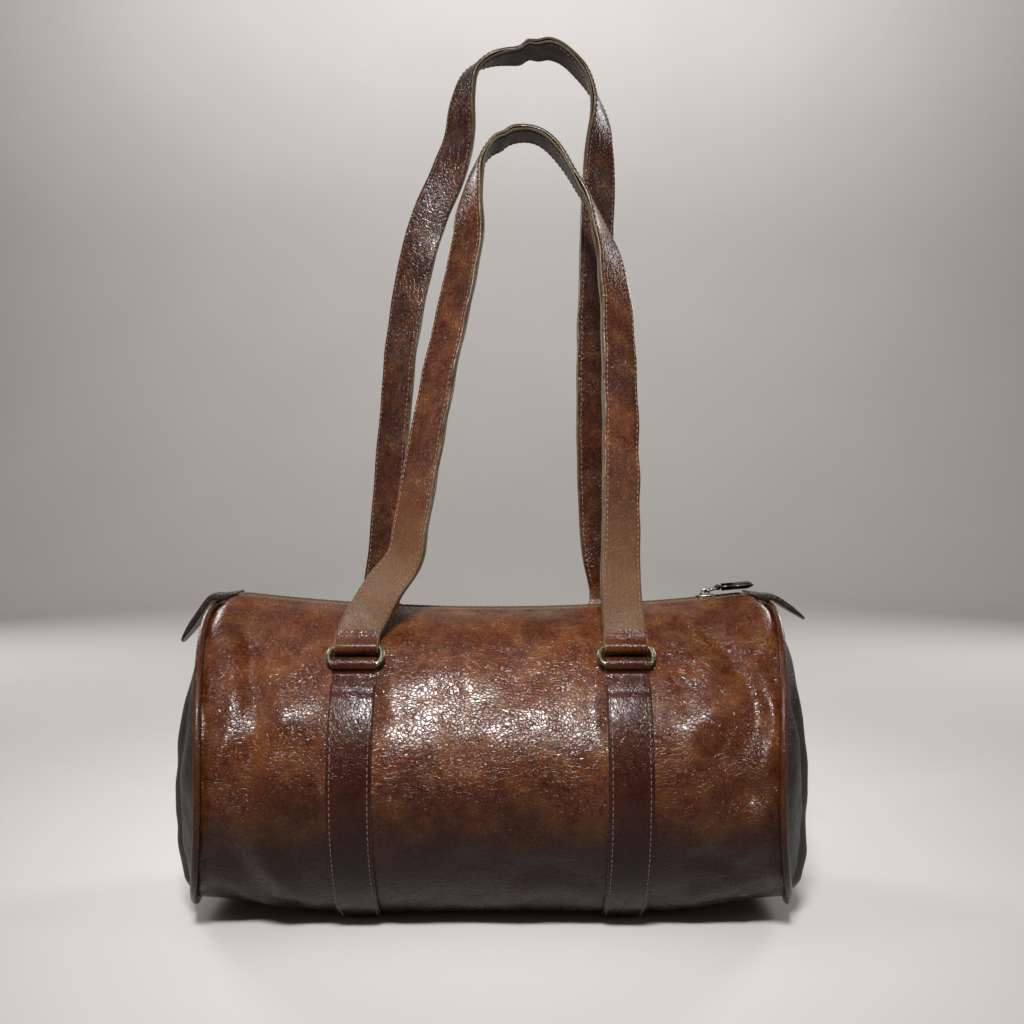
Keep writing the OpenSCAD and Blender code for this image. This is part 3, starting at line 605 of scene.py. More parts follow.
def strap_section(width, thick, crown=0.25 * MM, crease=0.18 * MM, points=22):
    """Closed outline of a flat strap: crowned top with a crease inside each edge, flat underside.

    Points run over the top from one edge to the other, then back underneath.
    """
    a = np.linspace(-1, 1, points)
    a = np.sign(a) * (1 - (1 - np.abs(a)) ** 1.35)
    half = width / 2
    x = a * half
    round_off = thick * 0.42 * np.clip((np.abs(x) - half + 0.8 * MM) / (0.8 * MM), 0, 1) ** 2
    line = crease * bell(np.abs(x) - half + 1.6 * MM, 0.5 * MM)
    top = np.stack([x, thick + crown * (1 - a ** 2) - round_off - line], axis=1)
    low = np.stack([x[::-1], 0.35 * round_off[::-1]], axis=1)
    return np.concatenate([top, low])


def sweep(name, centre, wide, up, section):
    """Solid of an outline (across, height) carried along a centre line, with its own directions."""
    section = np.broadcast_to(section, (len(centre),) + section.shape[-2:])
    wide = np.broadcast_to(wide, centre.shape)
    rows = centre[:, None] + section[..., :1] * wide[:, None] + section[..., 1:] * up[:, None]
    length = run_along(centre)
    return surface(name, rows, grid_uv(length[:, None], section[..., 0]), sharp=50)


chape_turn = math.degrees(chape_l / barrel_r)
end_turn = math.degrees(10.6 * MM / barrel_r)
band_from = 180 - chape_front_deg + end_turn
band_to = 360 + chape_rear_deg - end_turn
edge_in, chape_lift = 1.9 * MM, 1.15 * MM
for side, word in hands:
    turn = np.linspace(band_from, band_to, 260)
    ends = np.minimum(turn - band_from, band_to - turn)
    over = 1 - ease((ends - chape_turn + end_turn) / 3.5)
    x = np.full(turn.shape, side * band_x)
    seat = skin(x, turn, seat_gap - 0.1 * MM + chape_lift * over)
    up = unit(skin(x, turn, 4 * MM) - skin(x, turn, 0))
    wide = np.array([1.0, 0.0, 0.0])
    band = sweep(f"band_{word}_leather", seat, wide, up, strap_section(strap_w, band_t - 0.5 * MM))
    dress(band, band_leather, "bag", "band_leather", f"band_{word}")
    sewing = []
    for edge in (-1, 1):
        line = skin(x + edge * (strap_w / 2 - edge_in), turn, band_t - 0.36 * MM + chape_lift * over)
        sewing.append(sewn(line[4:-4], up[4:-4], pitch=3.1 * MM))
    thread = stitches(f"band_{word}_stitching", *joined(sewing), thick=0.48 * MM)
    dress(thread, pale_thread, "bag", "band_leather")


# --- Chapes -------------------------------------------------------------------
# Each end of a band is a folded tab of the same bridle leather: it passes under the ring's lower
# bar, round it and back down over itself, and a row of stitches holds both layers.
wire_r = 1.5 * MM
bore_r = wire_r + 0.05 * MM
roll_r = bore_r + band_t + 0.15 * MM
bar_h = seat_gap + roll_r


def curve_through(p):
    """Catmull-Rom curve in 24 steps a span, from the second point up to the last but one.

    Between b and c, with a before and d after, and s from 0 to 1, a point is half of
    2b + (c - a)s + (2a - 5b + 4c - d)s^2 + (3b - a - 3c + d)s^3.
    """
    s = np.linspace(0, 1, 24, endpoint=False)[None, :, None]
    a, b, c, d = (p[k:len(p) - 3 + k, None] for k in range(4))
    fine = 0.5 * (2 * b + (c - a) * s + (2 * a - 5 * b + 4 * c - d) * s ** 2
                  + (3 * b - a - 3 * c + d) * s ** 3)
    return fine.reshape(-1, p.shape[1])


def path_points(knots, step):
    """Smooth line through knots, resampled to an even step."""
    p = np.vstack([2 * knots[0] - knots[1], knots, 2 * knots[-1] - knots[-2]])
    fine = np.vstack([curve_through(p), knots[-1:]])
    length = run_along(fine[:, :2])
    at = np.linspace(0, length[-1], max(8, int(length[-1] / step)))
    return sampled(fine, length, at)


def arc_knots(middle, radius, start, stop, count):
    """Knots on an arc in a plane, from one angle to another, in degrees."""
    angle = np.radians(np.linspace(start, stop, count))
    return np.stack([middle[0] + radius * np.cos(angle), middle[1] + radius * np.sin(angle)], axis=1)


fold_mid = bore_r + 0.9 * MM
chape_path = path_points(np.vstack([
    [[chape_l - 0.6 * MM, 0.5 * MM], [7 * MM, 0.5 * MM], [3 * MM, 0.8 * MM]],
    arc_knots((0, bar_h), fold_mid, 280, -22, 12),
    [[2.9 * MM, 2.1 * MM], [4.1 * MM, 1.3 * MM], [6 * MM, 1.05 * MM], [8 * MM, 1.0 * MM],
     [10 * MM, 1.0 * MM], [chape_l - 0.6 * MM, 0.95 * MM]],
]), 0.35 * MM)
for end, deg, flip in (("front", chape_front_deg, 1), ("rear", chape_rear_deg, -1)):
    for side, word in hands:
        at_turn = 180 - deg + np.degrees(chape_path[:, 0] / barrel_r)
        x = np.full(len(at_turn), side * band_x)
        centre = skin(x, at_turn, chape_path[:, 1])
        centre[:, 1] *= flip
        ahead = unit(np.gradient(centre, axis=0))
        wide = np.array([float(side), 0.0, 0.0])
        up = unit(np.cross(wide, ahead)) * side * flip
        section = strap_section(strap_w, 1.7 * MM, crown=0.12 * MM)
        section[:, 1] -= 0.85 * MM
        section = np.repeat(section[None], len(centre), axis=0)
        section[..., 1] *= (0.36 + 0.64 * ease((chape_path[:, 1] - 1.3 * MM) / (1.3 * MM)))[:, None]
        chape = sweep(f"chape_{end}_{word}_leather", centre, wide, up, section)
        dress(chape, band_leather, "bag", "band_leather", f"chape_{end}_{word}")
        cross_x = side * band_x + np.linspace(-1, 1, 9) * (strap_w / 2 - 2.4 * MM)
        cross_turn = 180 - deg + math.degrees(12.4 * MM / barrel_r)
        line = skin(cross_x, cross_turn, band_t + 1.02 * MM)
        away = unit(line - skin(cross_x, cross_turn, 0))
        line[:, 1] *= flip
        away[:, 1] *= flip
        row = sewn(line, away, pitch=2.6 * MM)
        thread = stitches(f"chape_{end}_{word}_stitching", *row, thick=0.55 * MM)
        dress(thread, pale_thread, "bag", "band_leather")


# --- Lining -------------------------------------------------------------------
# A plain cotton lining hangs inside the leather: one wrap and two rounds, sewn into the seams. It
# lies just inside the hide, and none of it shows while the zip is shut.
lining_t = 0.8 * MM
lining_off = -leather_t - 0.6 * MM - 2 * seat_gap
lining_cotton, tree = blank_material("cotton_plain_weave")
place = add(tree, "UVMap", uv_map="metres")
# plain weave of 0.6 mm threads, drawn as crossed waves
ways = [add(tree, "TexWave", {"Vector": place, "Scale": 260.0, "Distortion": 0.6},
            bands_direction=way, out=1) for way in "XY"]
weave = add(tree, "Math", {0: ways[0], 1: ways[1]}, operation="MULTIPLY")
base = add(tree, "Mix", {0: weave, 6: colour("#6f6656"), 7: colour("#978c78")}, data_type="RGBA", out=2)
bump = add(tree, "Bump", {"Strength": 0.5, "Distance": 0.0001, "Height": weave})
shader = add(tree, "BsdfPrincipled", {
    "Base Color": base, "Roughness": 0.85, "Normal": bump, "Sheen Weight": 0.15,
})
add(tree, "OutputMaterial", {0: shader})

share = np.linspace(-1, 1, 90)[:, None]
turns = np.linspace(90 + mouth_deg, 450 - mouth_deg, 150)
x = share * (seam_x(turns)[None] - 1.2 * MM)
sunk = np.minimum(relief(x, turns[None]), 0) + lining_off
shells = [skin(x, turns[None], sunk - depth) for depth in (0, lining_t)]
uv = grid_uv(x, np.radians(turns)[None] * barrel_r)
rows = np.concatenate([shells[0], shells[1][:, ::-1]], axis=1)
lining = surface("lining_wrap_cotton", rows, np.concatenate([uv, uv[:, ::-1]], axis=1))
dress(lining, lining_cotton, "bag", "lining_cotton", "lining_wrap")
for side, word in hands:
    ring_share = np.linspace(0.03, 1, 24)[:, None]
    ring_turn = np.linspace(0, 360, 90, endpoint=False)[None]
    rows = np.concatenate([dome(ring_share, ring_turn, lining_off, side),
                           dome(ring_share[::-1], ring_turn, lining_off - lining_t, side)])
    panel = surface(f"lining_end_{word}_cotton", rows, rows[..., 1:], caps="fan")
    dress(panel, lining_cotton, "bag", "lining_cotton", f"lining_end_{word}")


# --- Zip tapes ----------------------------------------------------------------
# Two woven tapes lie under the leather's folded edges; each has a beaded edge that the teeth
# clamp. They are sewn in with the hems and sag with the opening.
tooth_slot, tooth_w, tooth_h, tooth_pitch = 1.2 * MM, 2.6 * MM, 2.6 * MM, 3.5 * MM
tooth_top = 0.1 * MM
zip_tape, tree = blank_material("polyester_twill_tape")
place = add(tree, "UVMap", uv_map="metres")
# herringbone ribs 1.2 mm apart, coarser than the real 0.7 mm so that they show
slant = add(tree, "Mapping", {"Vector": place, "Rotation": (0, 0, math.radians(38))})
rib = add(tree, "TexWave", {"Vector": slant, "Scale": 130.0, "Distortion": 0.8, "Detail": 1.0}, out=1)
fuzz = add(tree, "TexNoise", {"Vector": place, "Scale": 900.0, "Detail": 3.0})
high = add(tree, "Math", {0: fuzz, 1: 0.5, 2: rib}, operation="MULTIPLY_ADD")
base = add(tree, "Mix", {0: rib, 6: colour("#1c1712"), 7: colour("#372d25")}, data_type="RGBA", out=2)
bump = add(tree, "Bump", {"Strength": 0.7, "Distance": 0.00015, "Height": high})
shader = add(tree, "BsdfPrincipled", {
    "Base Color": base, "Roughness": 0.8, "Normal": bump, "Sheen Weight": 0.2, "Sheen Roughness": 0.5,
})
add(tree, "OutputMaterial", {0: shader})

tape_x = np.linspace(-1, 1, 90)[:, None] * (seam_half - 0.3 * MM)
tape_y = np.array([1.9, 2.1, 2.5, 2.9, 3.2, 3.5, 4.0, 4.7, 5.4, 6.2, 8.0, 10.0, 12.0, 13.0]) * MM
bead = 0.45 * MM * bell(tape_y - 2.4 * MM, 0.5 * MM)
dip = (1.1 + 0.8 * ease((tape_y - 3.3 * MM) / (2.7 * MM))) * MM
for way, word in ((-1, "front"), (1, "back")):
    turn = 90 - np.degrees(np.arcsin(tape_y / barrel_r))
    top = skin(tape_x, turn[None], -(dip - bead)[None])
    low = skin(tape_x, turn[None], -(dip + bead + 0.6 * MM)[None])
    rows = np.concatenate([top, low[:, ::-1]], axis=1)
    rows[..., 1] *= way
    uv = grid_uv(tape_x, way * tape_y[None])
    tape = surface(f"zip_tape_{word}_woven", rows, np.concatenate([uv, uv[:, ::-1]], axis=1))
    dress(tape, zip_tape, "bag", "zip_tape", f"zip_tape_{word}")


# --- Zip chain ----------------------------------------------------------------
# Metal teeth, one stamping each, clamped along the tapes' beads; a square stop closes each end.
# They are dark oxidised brass that rubs bright on the crowns.
def metal(name, ground, rub, rough, tarnish=0.5, scale=260.0):
    """Worn plated metal: tarnish clouds over the ground colour and fine scratches in the gloss."""
    material, tree = blank_material(name)
    place = add(tree, "TexCoord", out="Object")
    cloud = add(tree, "TexNoise", {"Vector": place, "Scale": scale, "Detail": 4.0, "Roughness": 0.6})
    worn = add(tree, "MapRange", {0: cloud, 1: 0.4, 2: 0.66, 3: 0.0, 4: tarnish})
    base = add(tree, "Mix", {0: worn, 6: colour(ground), 7: colour(rub)}, data_type="RGBA", out=2)
    long = add(tree, "Mapping", {"Vector": place, "Scale": (1.0, 6.0, 3.0)})
    scratch = add(tree, "TexNoise", {"Vector": long, "Scale": 900.0, "Detail": 2.0})
    gloss = add(tree, "MapRange", {0: scratch, 1: 0.3, 2: 0.7, 3: rough - 0.07, 4: rough + 0.12})
    bump = add(tree, "Bump", {"Strength": 0.4, "Distance": 0.00006, "Height": cloud})
    shader = add(tree, "BsdfPrincipled", {
        "Base Color": base, "Metallic": 1.0, "Roughness": gloss, "Normal": bump,
    })
    add(tree, "OutputMaterial", {0: shader})
    return material


def arc_place(points, s=0.0):
    """Local points (along, across, up) put on the opening's arc at a distance s from its middle."""
    angle = np.arcsin(s / zip_r)
    reach = zip_r - points[..., 2]
    x = points[..., 0] * np.cos(angle) + reach * np.sin(angle)
    z = zip_axis_z + points[..., 0] * np.sin(angle) - reach * np.cos(angle)
    return np.stack([x, points[..., 1] + 0 * x, z], axis=-1)


zip_metal = metal("oxidised_brass_teeth", "#2e2a24", "#77694c", 0.38, tarnish=0.45, scale=420.0)
octagon = np.array([(-1, -0.5), (-0.6, -1), (0.6, -1), (1, -0.5),
                    (1, 0.5), (0.6, 1), (-0.6, 1), (-1, 0.5)])
tooth_y = tooth_slot / 2 + np.array([0.02, 0.25, 0.9, 1.5, 2.45, 2.6]) * MM
tooth_size = np.array([(0.42, 0.6), (0.62, 0.8), (0.66, 0.85),
                       (0.86, 0.98), (0.86, 1.0), (0.7, 0.85)]) * MM
chain_half = zip_half - 1 * MM
tooth_mid = tooth_top + tooth_h / 2
count = int(2 * chain_half / tooth_pitch)
for way, word, shift in ((-1, "front", 0.0), (1, "back", tooth_pitch / 2)):
    local = np.empty((count, len(tooth_y), 8, 3))
    local[..., 0] = (octagon[None, :, 0] * tooth_size[:, :1])[None]
    local[..., 1] = way * tooth_y[None, :, None]
    local[..., 2] = (octagon[None, :, 1] * tooth_size[:, 1:])[None] - tooth_mid - 0.25 * MM
    s = -chain_half + (np.arange(count) + 0.25) * tooth_pitch + shift
    teeth = from_rows(f"zip_teeth_{word}_brass", arc_place(local, s[:, None, None]), sharp=35)
    dress(teeth, zip_metal, "bag", "zip_metal", f"zip_teeth_{word}")


def bulged(value, power):
    """The value's size raised to a power, with its sign kept."""
    return np.sign(value) * np.abs(value) ** power


def rounded_box(size, corner, steps=3):
    """Rows of a box with rounded edges: a superellipse outline that is drawn in at both ends."""
    angle = np.radians(np.arange(0, 360, 15) + 7.5)
    outline = np.stack([bulged(np.cos(angle), 0.28), bulged(np.sin(angle), 0.28)], axis=1)
    half = np.array(size) / 2
    quarter = np.radians(np.linspace(0, 90, steps + 1))
    inset = corner * (1 - np.sin(quarter))
    drop = corner * (1 - np.cos(quarter))
    z = np.concatenate([-half[2] + drop, (half[2] - drop)[::-1]])
    draw = np.concatenate([inset, inset[::-1]])
    rows = np.empty((len(z), len(outline), 3))
    rows[..., 0] = outline[None, :, 0] * (half[0] - draw)[:, None]
    rows[..., 1] = outline[None, :, 1] * (half[1] - draw)[:, None]
    rows[..., 2] = z[:, None]
    return rows


stop_s = chain_half + tooth_pitch / 2 + 1.3 * MM
block = rounded_box((2 * MM, tooth_slot + 2 * tooth_w, tooth_h), corner=0.5 * MM)
block[..., 2] -= tooth_mid
blocks = np.stack([arc_place(block, side * stop_s) for side in (-1, 1)])
stops = from_rows("zip_stops_brass", blocks, sharp=35)
dress(stops, zip_metal, "bag", "zip_metal", "zip_stops")


# --- Zip end tabs -------------------------------------------------------------
# A strip of dark leather folded double is sewn over each end of the zip; it crosses the seam and
# its rounded tip hangs free, lower on the left than on the right.
tab_w, tab_t, tab_reach = 18 * MM, 3.4 * MM, 21 * MM
tab_leather = leather("folded_calf_tab", "#130c08", "#211610", "#33241a", "#57432f",
                      pebble=1.8, depth=0.08, veins=0.3, rough=0.32)
black_thread = waxed_thread("waxed_thread_black", "#1d1712")
for side, word, deg in ((-1, "left", 56), (1, "right", 35)):
    sine, cosine = math.sin(math.radians(deg)), math.cos(math.radians(deg))
    seam_top = float(top_line(seam_half)) + 2 * seat_gap + 3.8 * MM
    from_x, over_x, bend_x = zip_half + 3.5 * MM, seam_half - 1.9 * MM, seam_half + 1.9 * MM
    tip_l = (seam_half + tab_reach - bend_x - tab_t * sine) / cosine
    bed_x = np.linspace(from_x, over_x, 4)
    bed_low = np.maximum(seam_top, top_line(bed_x) + seat_gap)
    bed_t = np.linspace(bed_low[0] + 1.1 * MM, seam_top + 3.2 * MM, 4) - bed_low
    bed_z = bed_low + bed_t / 2
    half_t = tab_t / 2
    hang = [[bend_x + half_t * sine + reach * cosine, seam_top + half_t * cosine - reach * sine]
            for reach in (0.45 * tip_l, tip_l)]
    knots = np.vstack([
        np.stack([bed_x, bed_z], axis=1),
        [[bend_x + 0.5 * half_t * sine, seam_top + half_t * (0.45 + 0.3 * cosine)]], hang,
    ])
    line = path_points(knots, 0.45 * MM)
    run = np.linspace(0, 1, len(line)) * (len(line) - 1) * 0.45 * MM
    left_over = run[-1] - run
    tip_r = 7.5 * MM
    round_tip = np.sqrt(np.clip(1 - ((tip_r - left_over) / tip_r).clip(0) ** 2, 0.0, 1))
    width = (tab_w - 1.6 * MM) * (0.1 + 0.9 * round_tip) * (0.93 + 0.07 * ease(run / (6 * MM)))
    thick = np.interp(line[:, 0], bed_x, bed_t) * (0.35 + 0.65 * ease(left_over / (14 * MM)))
    centre = np.stack([side * line[:, 0], 0 * run, line[:, 1]], axis=1)
    ahead = unit(np.gradient(centre, axis=0))
    wide = np.array([0.0, 1.0, 0.0])
    up = unit(np.cross(ahead, wide)) * side
    up *= np.sign(up[:, 2:3] + 1e-9)
    section = strap_section(2.0, 1.0, crown=0.12, crease=0.05)
    section = np.stack([section[None, :, 0] * width[:, None] / 2,
                        (section[None, :, 1] - 0.5) * thick[:, None]], axis=-1)
    tab = sweep(f"zip_tab_{word}_leather", centre, wide, up, section)
    dress(tab, tab_leather, "bag", "tab_leather", f"zip_tab_{word}")
    rim = (width / 2 - 2.0 * MM).clip(0)
    keep = rim > 1.2 * MM
    sides = [centre + way * rim[:, None] * wide + 0.53 * thick[:, None] * up for way in (-1, 1)]
    hem = np.concatenate([sides[0][keep], sides[1][keep][::-1]])
    hem_up = np.concatenate([up[keep], up[keep][::-1]])
    hem -= 0.12 * MM * hem_up
    row = sewn(hem, hem_up, pitch=2.4 * MM)
    thread = stitches(f"zip_tab_{word}_stitching", *row, thick=0.4 * MM)
    dress(thread, black_thread, "bag", "tab_leather")


# --- Slider, pull link and pull -----------------------------------------------
# The slider is cast in pale brass: two plates with lips round the chain, a neck between them and a
# bow on top. A gunmetal wire link hangs in the bow and carries a long gunmetal pull.
slider_x, slider_l, plate_w, plate_t = zip_half - 18.5 * MM, 10.5 * MM, 8.4 * MM, 1.1 * MM
slider_top = 0.2 * MM
slider_low = -tooth_top - tooth_h - 0.3 * MM - plate_t
link_r, link_l, link_deg = 0.65 * MM, 7.5 * MM, 12
bridge_z = slider_top + plate_t + 1.7 * MM - 0.05 * MM
antique_brass = metal("antique_brass_cast", "#68634b", "#a49e80", 0.3, tarnish=0.8)
gunmetal = metal("gunmetal_plated_zinc", "#2a2829", "#5a5654", 0.27, tarnish=0.35)


def slab(outline, low, high, corner, dome_up=0.0, dome_low=0.0):
    """Rows of a plate from an outline: rounded rims, and a face that may rise to its middle."""
    normal = np.roll(outline, -1, axis=0) - np.roll(outline, 1, axis=0)
    normal = unit(np.stack([normal[:, 1], -normal[:, 0]], axis=1))
    quarter = np.radians(np.linspace(0, 90, 4))
    inset, drop = corner * (1 - np.sin(quarter)), corner * (1 - np.cos(quarter))
    draw = np.concatenate([[3 * corner], inset, inset[::-1], [3 * corner]])
    z = np.concatenate([[low - dome_low], low + drop, (high - drop)[::-1], [high + dome_up]])
    flat = outline[None] - draw[:, None, None] * normal[None]
    return np.concatenate([flat, np.broadcast_to(z[:, None, None], flat.shape[:2] + (1,))], axis=-1)


def merged(name, pieces):
    """One object from several: their meshes are put into one and the old objects go."""
    whole = bmesh.new()
    for piece in pieces:
        whole.from_mesh(piece.data)
    mesh = bpy.data.meshes.new(name)
    whole.to_mesh(mesh)
    whole.free()
    for piece in pieces:
        bpy.data.objects.remove(piece)
    return placed(name, mesh)


def rounded_line(x0, x1, y_half, bend, steps=7):
    """Closed rounded rectangle in the XY plane, from x0 to x1 and to y_half on both sides."""
    parts = []
    for cx, cy, start in ((x1 - bend, y_half - bend, 0), (x0 + bend, y_half - bend, 90),
                          (x0 + bend, -y_half + bend, 180), (x1 - bend, -y_half + bend, 270)):
        parts.append(arc_knots((cx, cy), bend, start, start + 90, steps))
    line = np.concatenate(parts)
    return np.concatenate([line, 0 * line[:, :1]], axis=1)


def turned(points, deg, at=(0.0, 0.0, 0.0)):
    """Points turned about the Y axis, x towards z, then moved."""
    c, s = math.cos(math.radians(deg)), math.sin(math.radians(deg))
    x, y, z = points[..., 0], points[..., 1], points[..., 2]
    return np.stack([x * c - z * s, y, x * s + z * c], axis=-1) + np.array(at)


def metal_rows(name, rows, closed=False):
    """Metal piece from rows in the slider's own directions, put at the slider's place."""
    rows = arc_place(rows, slider_x)
    return surface(name, rows, join_rows=closed, caps=None if closed else "fan", sharp=35)


angle = np.radians(np.arange(0, 360, 10) + 5)
nose = np.stack([bulged(np.cos(angle), 0.55) * slider_l / 2,
                 bulged(np.sin(angle), 0.5) * plate_w / 2], axis=1)
nose[:, 1] *= 0.86 + 0.14 * ease((nose[:, 0] + slider_l / 2) / slider_l)
lip = rounded_line(-slider_l / 2 + 1.2 * MM, slider_l / 2 - 0.6 * MM, y_half=0.32 * MM, bend=0.3 * MM)
neck = np.stack([np.cos(angle) * 1.6 * MM + slider_l / 2 - 1.8 * MM, np.sin(angle) * 0.48 * MM], axis=1)
bow_angle = np.radians(np.linspace(-8, 188, 30))
bow_half, bow_high, bow_thick, bow_wide = 2.3 * MM, 2.85 * MM, 0.42 * MM, 1.5 * MM
bow_line = np.stack([bow_half * np.cos(bow_angle), 0 * bow_angle,
                     slider_top + plate_t + bow_high * np.sin(bow_angle)], axis=1)
bow_out = unit(np.stack([np.cos(bow_angle) / bow_half, 0 * bow_angle,
                         np.sin(bow_angle) / bow_high], axis=1))
bow_spin = np.radians(np.arange(0, 360, 30))[None, :, None]
bow_rows = (bow_line[:, None] + bow_thick * np.cos(bow_spin) * bow_out[:, None]
            + bow_wide * bulged(np.sin(bow_spin), 0.5) * np.array([0, 1.0, 0]))
lips = [lip[:, :2] + [0, way * (plate_w / 2 - 0.65 * MM)] for way in (1, -1)]
neck_low, neck_high = slider_low + 0.4 * MM, slider_top + 0.4 * MM
plates = [slab(nose, low, low + plate_t, corner=0.35 * MM, dome_up=high)
          for low, high in ((slider_top, 0.12 * MM), (slider_low, 0.0))]
slider = merged("zip_slider_brass", [
    *(metal_rows("plate", plate) for plate in plates),
    *(metal_rows("lip", slab(line, -0.45 * MM, neck_high, corner=0.12 * MM)) for line in lips),
    metal_rows("neck", slab(neck, neck_low, neck_high, corner=0.05 * MM)),
    metal_rows("bow", bow_rows),
])
dress(slider, antique_brass, "zip_slider", "antique_brass", "zip_slider")

loop_line = rounded_line(0, link_l, y_half=2.7 * MM, bend=1.1 * MM)
link_rows = turned(wire_loop(loop_line, (0.0, 0.0, 1.0), link_r), link_deg, (0, 0, bridge_z))
link = metal_rows("zip_pull_link_wire", link_rows, closed=True)
dress(link, gunmetal, "zip_pull_link", "gunmetal", "zip_pull_link")

pull_w, pull_l, pull_drop_deg = 8.4 * MM, 20 * MM, 1
link_end = turned(np.array([link_l, 0.0, 0.0]), link_deg, (0, 0, bridge_z))
body_s, neck_w, neck_x, round_x = np.linspace(0, 1, 22), 1.5 * MM, 1.35 * MM, pull_l - pull_w / 2
waist = neck_w + (pull_w / 2 - neck_w) * ease((body_s * round_x - 2.4 * MM) / (8 * MM))
side_x = neck_x + body_s * (round_x - neck_x)
end_line = arc_knots((round_x, 0), pull_w / 2, -90, 90, 15)[1:-1]
plate_line = np.concatenate([np.stack([side_x, -waist], axis=1), end_line,
                             np.stack([side_x, waist], axis=1)[::-1]])
plate_rows = turned(slab(plate_line, -1.1 * MM, 1.1 * MM, corner=1.0 * MM,
                         dome_up=0.85 * MM, dome_low=0.85 * MM), -pull_drop_deg)
eye_angle = np.radians(np.arange(0, 360, 15))
eye_profile = np.array([(0.88, -1.4), (0.88, 1.4), (1.0, 1.62), (1.4, 1.62),
                        (1.58, 1.4), (1.58, -1.4), (1.4, -1.62), (1.0, -1.62)]) * MM
eye_rows = np.stack([np.cos(eye_angle)[:, None] * eye_profile[None, :, 0],
                     0 * eye_angle[:, None] + eye_profile[None, :, 1],
                     np.sin(eye_angle)[:, None] * eye_profile[None, :, 0]], axis=-1)
pull = merged("zip_pull_plate", [
    metal_rows("plate", plate_rows + link_end),
    metal_rows("eye", eye_rows + link_end, closed=True),
])
dress(pull, gunmetal, "zip_pull", "gunmetal", "zip_pull")


# --- Rings --------------------------------------------------------------------
# Four oblong rings with bowed ends, bent from 3 mm brass wire and brazed shut, join the bands to
# the straps; their plating has worn to a greenish antique brass.
ring_pitch, bow_from, bow_out_by = 10.4 * MM, 10.3 * MM, 3.0 * MM
# tilt of each ring, and the middle of its lower bar, as the chapes hold them at rest
ring_front_deg, ring_rear_deg = 43.1783, 80
front_chape_bar = np.array([band_x, -60.6976 * MM, 137.357 * MM])
rear_chape_bar = np.array([band_x, -50.0205 * MM, 147.007 * MM])


def tilt(deg):
    """Direction of a tilt in the YZ plane, in degrees above level towards the rear."""
    return np.array([0.0, math.cos(math.radians(deg)), math.sin(math.radians(deg))])


ring_wire = metal("antique_brass_wire", "#65644b", "#a2a184", 0.27, tarnish=0.8, scale=190.0)
for end, bar, deg, flip in (("front", front_chape_bar, ring_front_deg, 1),
                            ("rear", rear_chape_bar, ring_rear_deg, -1)):
    swing = np.radians(np.linspace(-90, 90, 25))[:, None]
    bow = np.concatenate([ring_pitch / 2 * (1 + np.sin(swing)), bow_from + bow_out_by * np.cos(swing),
                          0 * swing], axis=1)
    line = np.concatenate([bow, bow[::-1] * [1, -1, 1]])
    rows = wire_loop(line, (0.0, 0.0, 1.0), wire_r, sides=18)
    along, face = tilt(deg), tilt(deg + 90)
    rows = rows[..., 1:2] * np.array([1.0, 0, 0]) + rows[..., :1] * along + rows[..., 2:] * face
    for side, word in hands:
        wire = (rows + bar) * [side, flip, 1]
        ring = surface(f"ring_{end}_{word}_wire", wire, join_rows=True, caps=None)
        dress(ring, ring_wire, f"ring_{end}_{word}", "antique_brass", f"ring_{end}_{word}")


# --- Shoulder straps ----------------------------------------------------------
# Each strap is two plies of leather glued back to back and sewn along both edges, glazed outside
# and plain inside. It has taken a set from wear: the front one leans back, the rear one stands.
ply_t, loop_l = 2 * MM, 9 * MM
ply_from, ply_lap = loop_l + 0.3 * MM, 2.9 * MM
worn_edge = {"edge": "#453c29", "half": strap_w / 2 - 0.5 * MM}
front_bar = front_chape_bar + ring_pitch * tilt(ring_front_deg)
rear_bar = rear_chape_bar + ring_pitch * tilt(ring_rear_deg)
front_strap_leather = leather("glazed_milled_strap_worn", "#2a1007", "#421c0c", "#5e3217", "#8d5f34",
                              pebble=2.0, depth=0.075, stretch=0.8, low="#4e3620", low_from=0.17,
                              low_to=0.25, low_share=0.72, dull=0.4, coat=0.0, **worn_edge)
rear_strap_leather = leather("glazed_milled_strap", "#1f0b05", "#341408", "#512710", "#80532b",
                             pebble=2.0, depth=0.075, stretch=0.8, **worn_edge)
loop_leather = leather("glazed_strap_end", "#331609", "#4a2612", "#5f361e", "#7a4f2e", pebble=1.8,
                       depth=0.05, veins=0.2, edge="#5a4428", half=strap_w / 2 - 0.5 * MM)
strap_backing = leather("plain_split_backing", "#1f1710", "#33271d", "#473828", "#5b4d3a",
                        pebble=1.8, depth=0.1, rough=0.42, coat=0.0, **worn_edge)
strap_thread = waxed_thread("waxed_thread_brown", "#6a5138")
# how far out, back and up each point is, as shares of the ring's place, the lean and the rise, and
# its turn from flat to the front (0) to edge on to the front (1)
front_route = np.array([
    [-0.84, 0.20, 0.095, 0.18], [-0.675, 0.27, 0.155, 0.32], [-0.63, 0.32, 0.21, 0.34],
    [-0.56, 0.41, 0.32, 0.33], [-0.475, 0.50, 0.44, 0.35], [-0.375, 0.60, 0.57, 0.37],
    [-0.27, 0.70, 0.69, 0.39], [-0.205, 0.78, 0.785, 0.44], [-0.185, 0.85, 0.86, 0.64],
    [-0.12, 0.91, 0.93, 0.88], [0.03, 0.97, 0.98, 1.0], [0.24, 1.0, 1.0, 1.0],
    [0.44, 0.99, 0.985, 1.0], [0.62, 0.95, 0.93, 0.98], [0.80, 0.88, 0.85, 0.88],
    [0.935, 0.81, 0.76, 0.62], [0.995, 0.72, 0.66, 0.42], [1.015, 0.60, 0.53, 0.32],
    [1.015, 0.47, 0.38, 0.28], [1.0, 0.34, 0.22, 0.24], [0.985, 0.20, 0.10, 0.14],
])
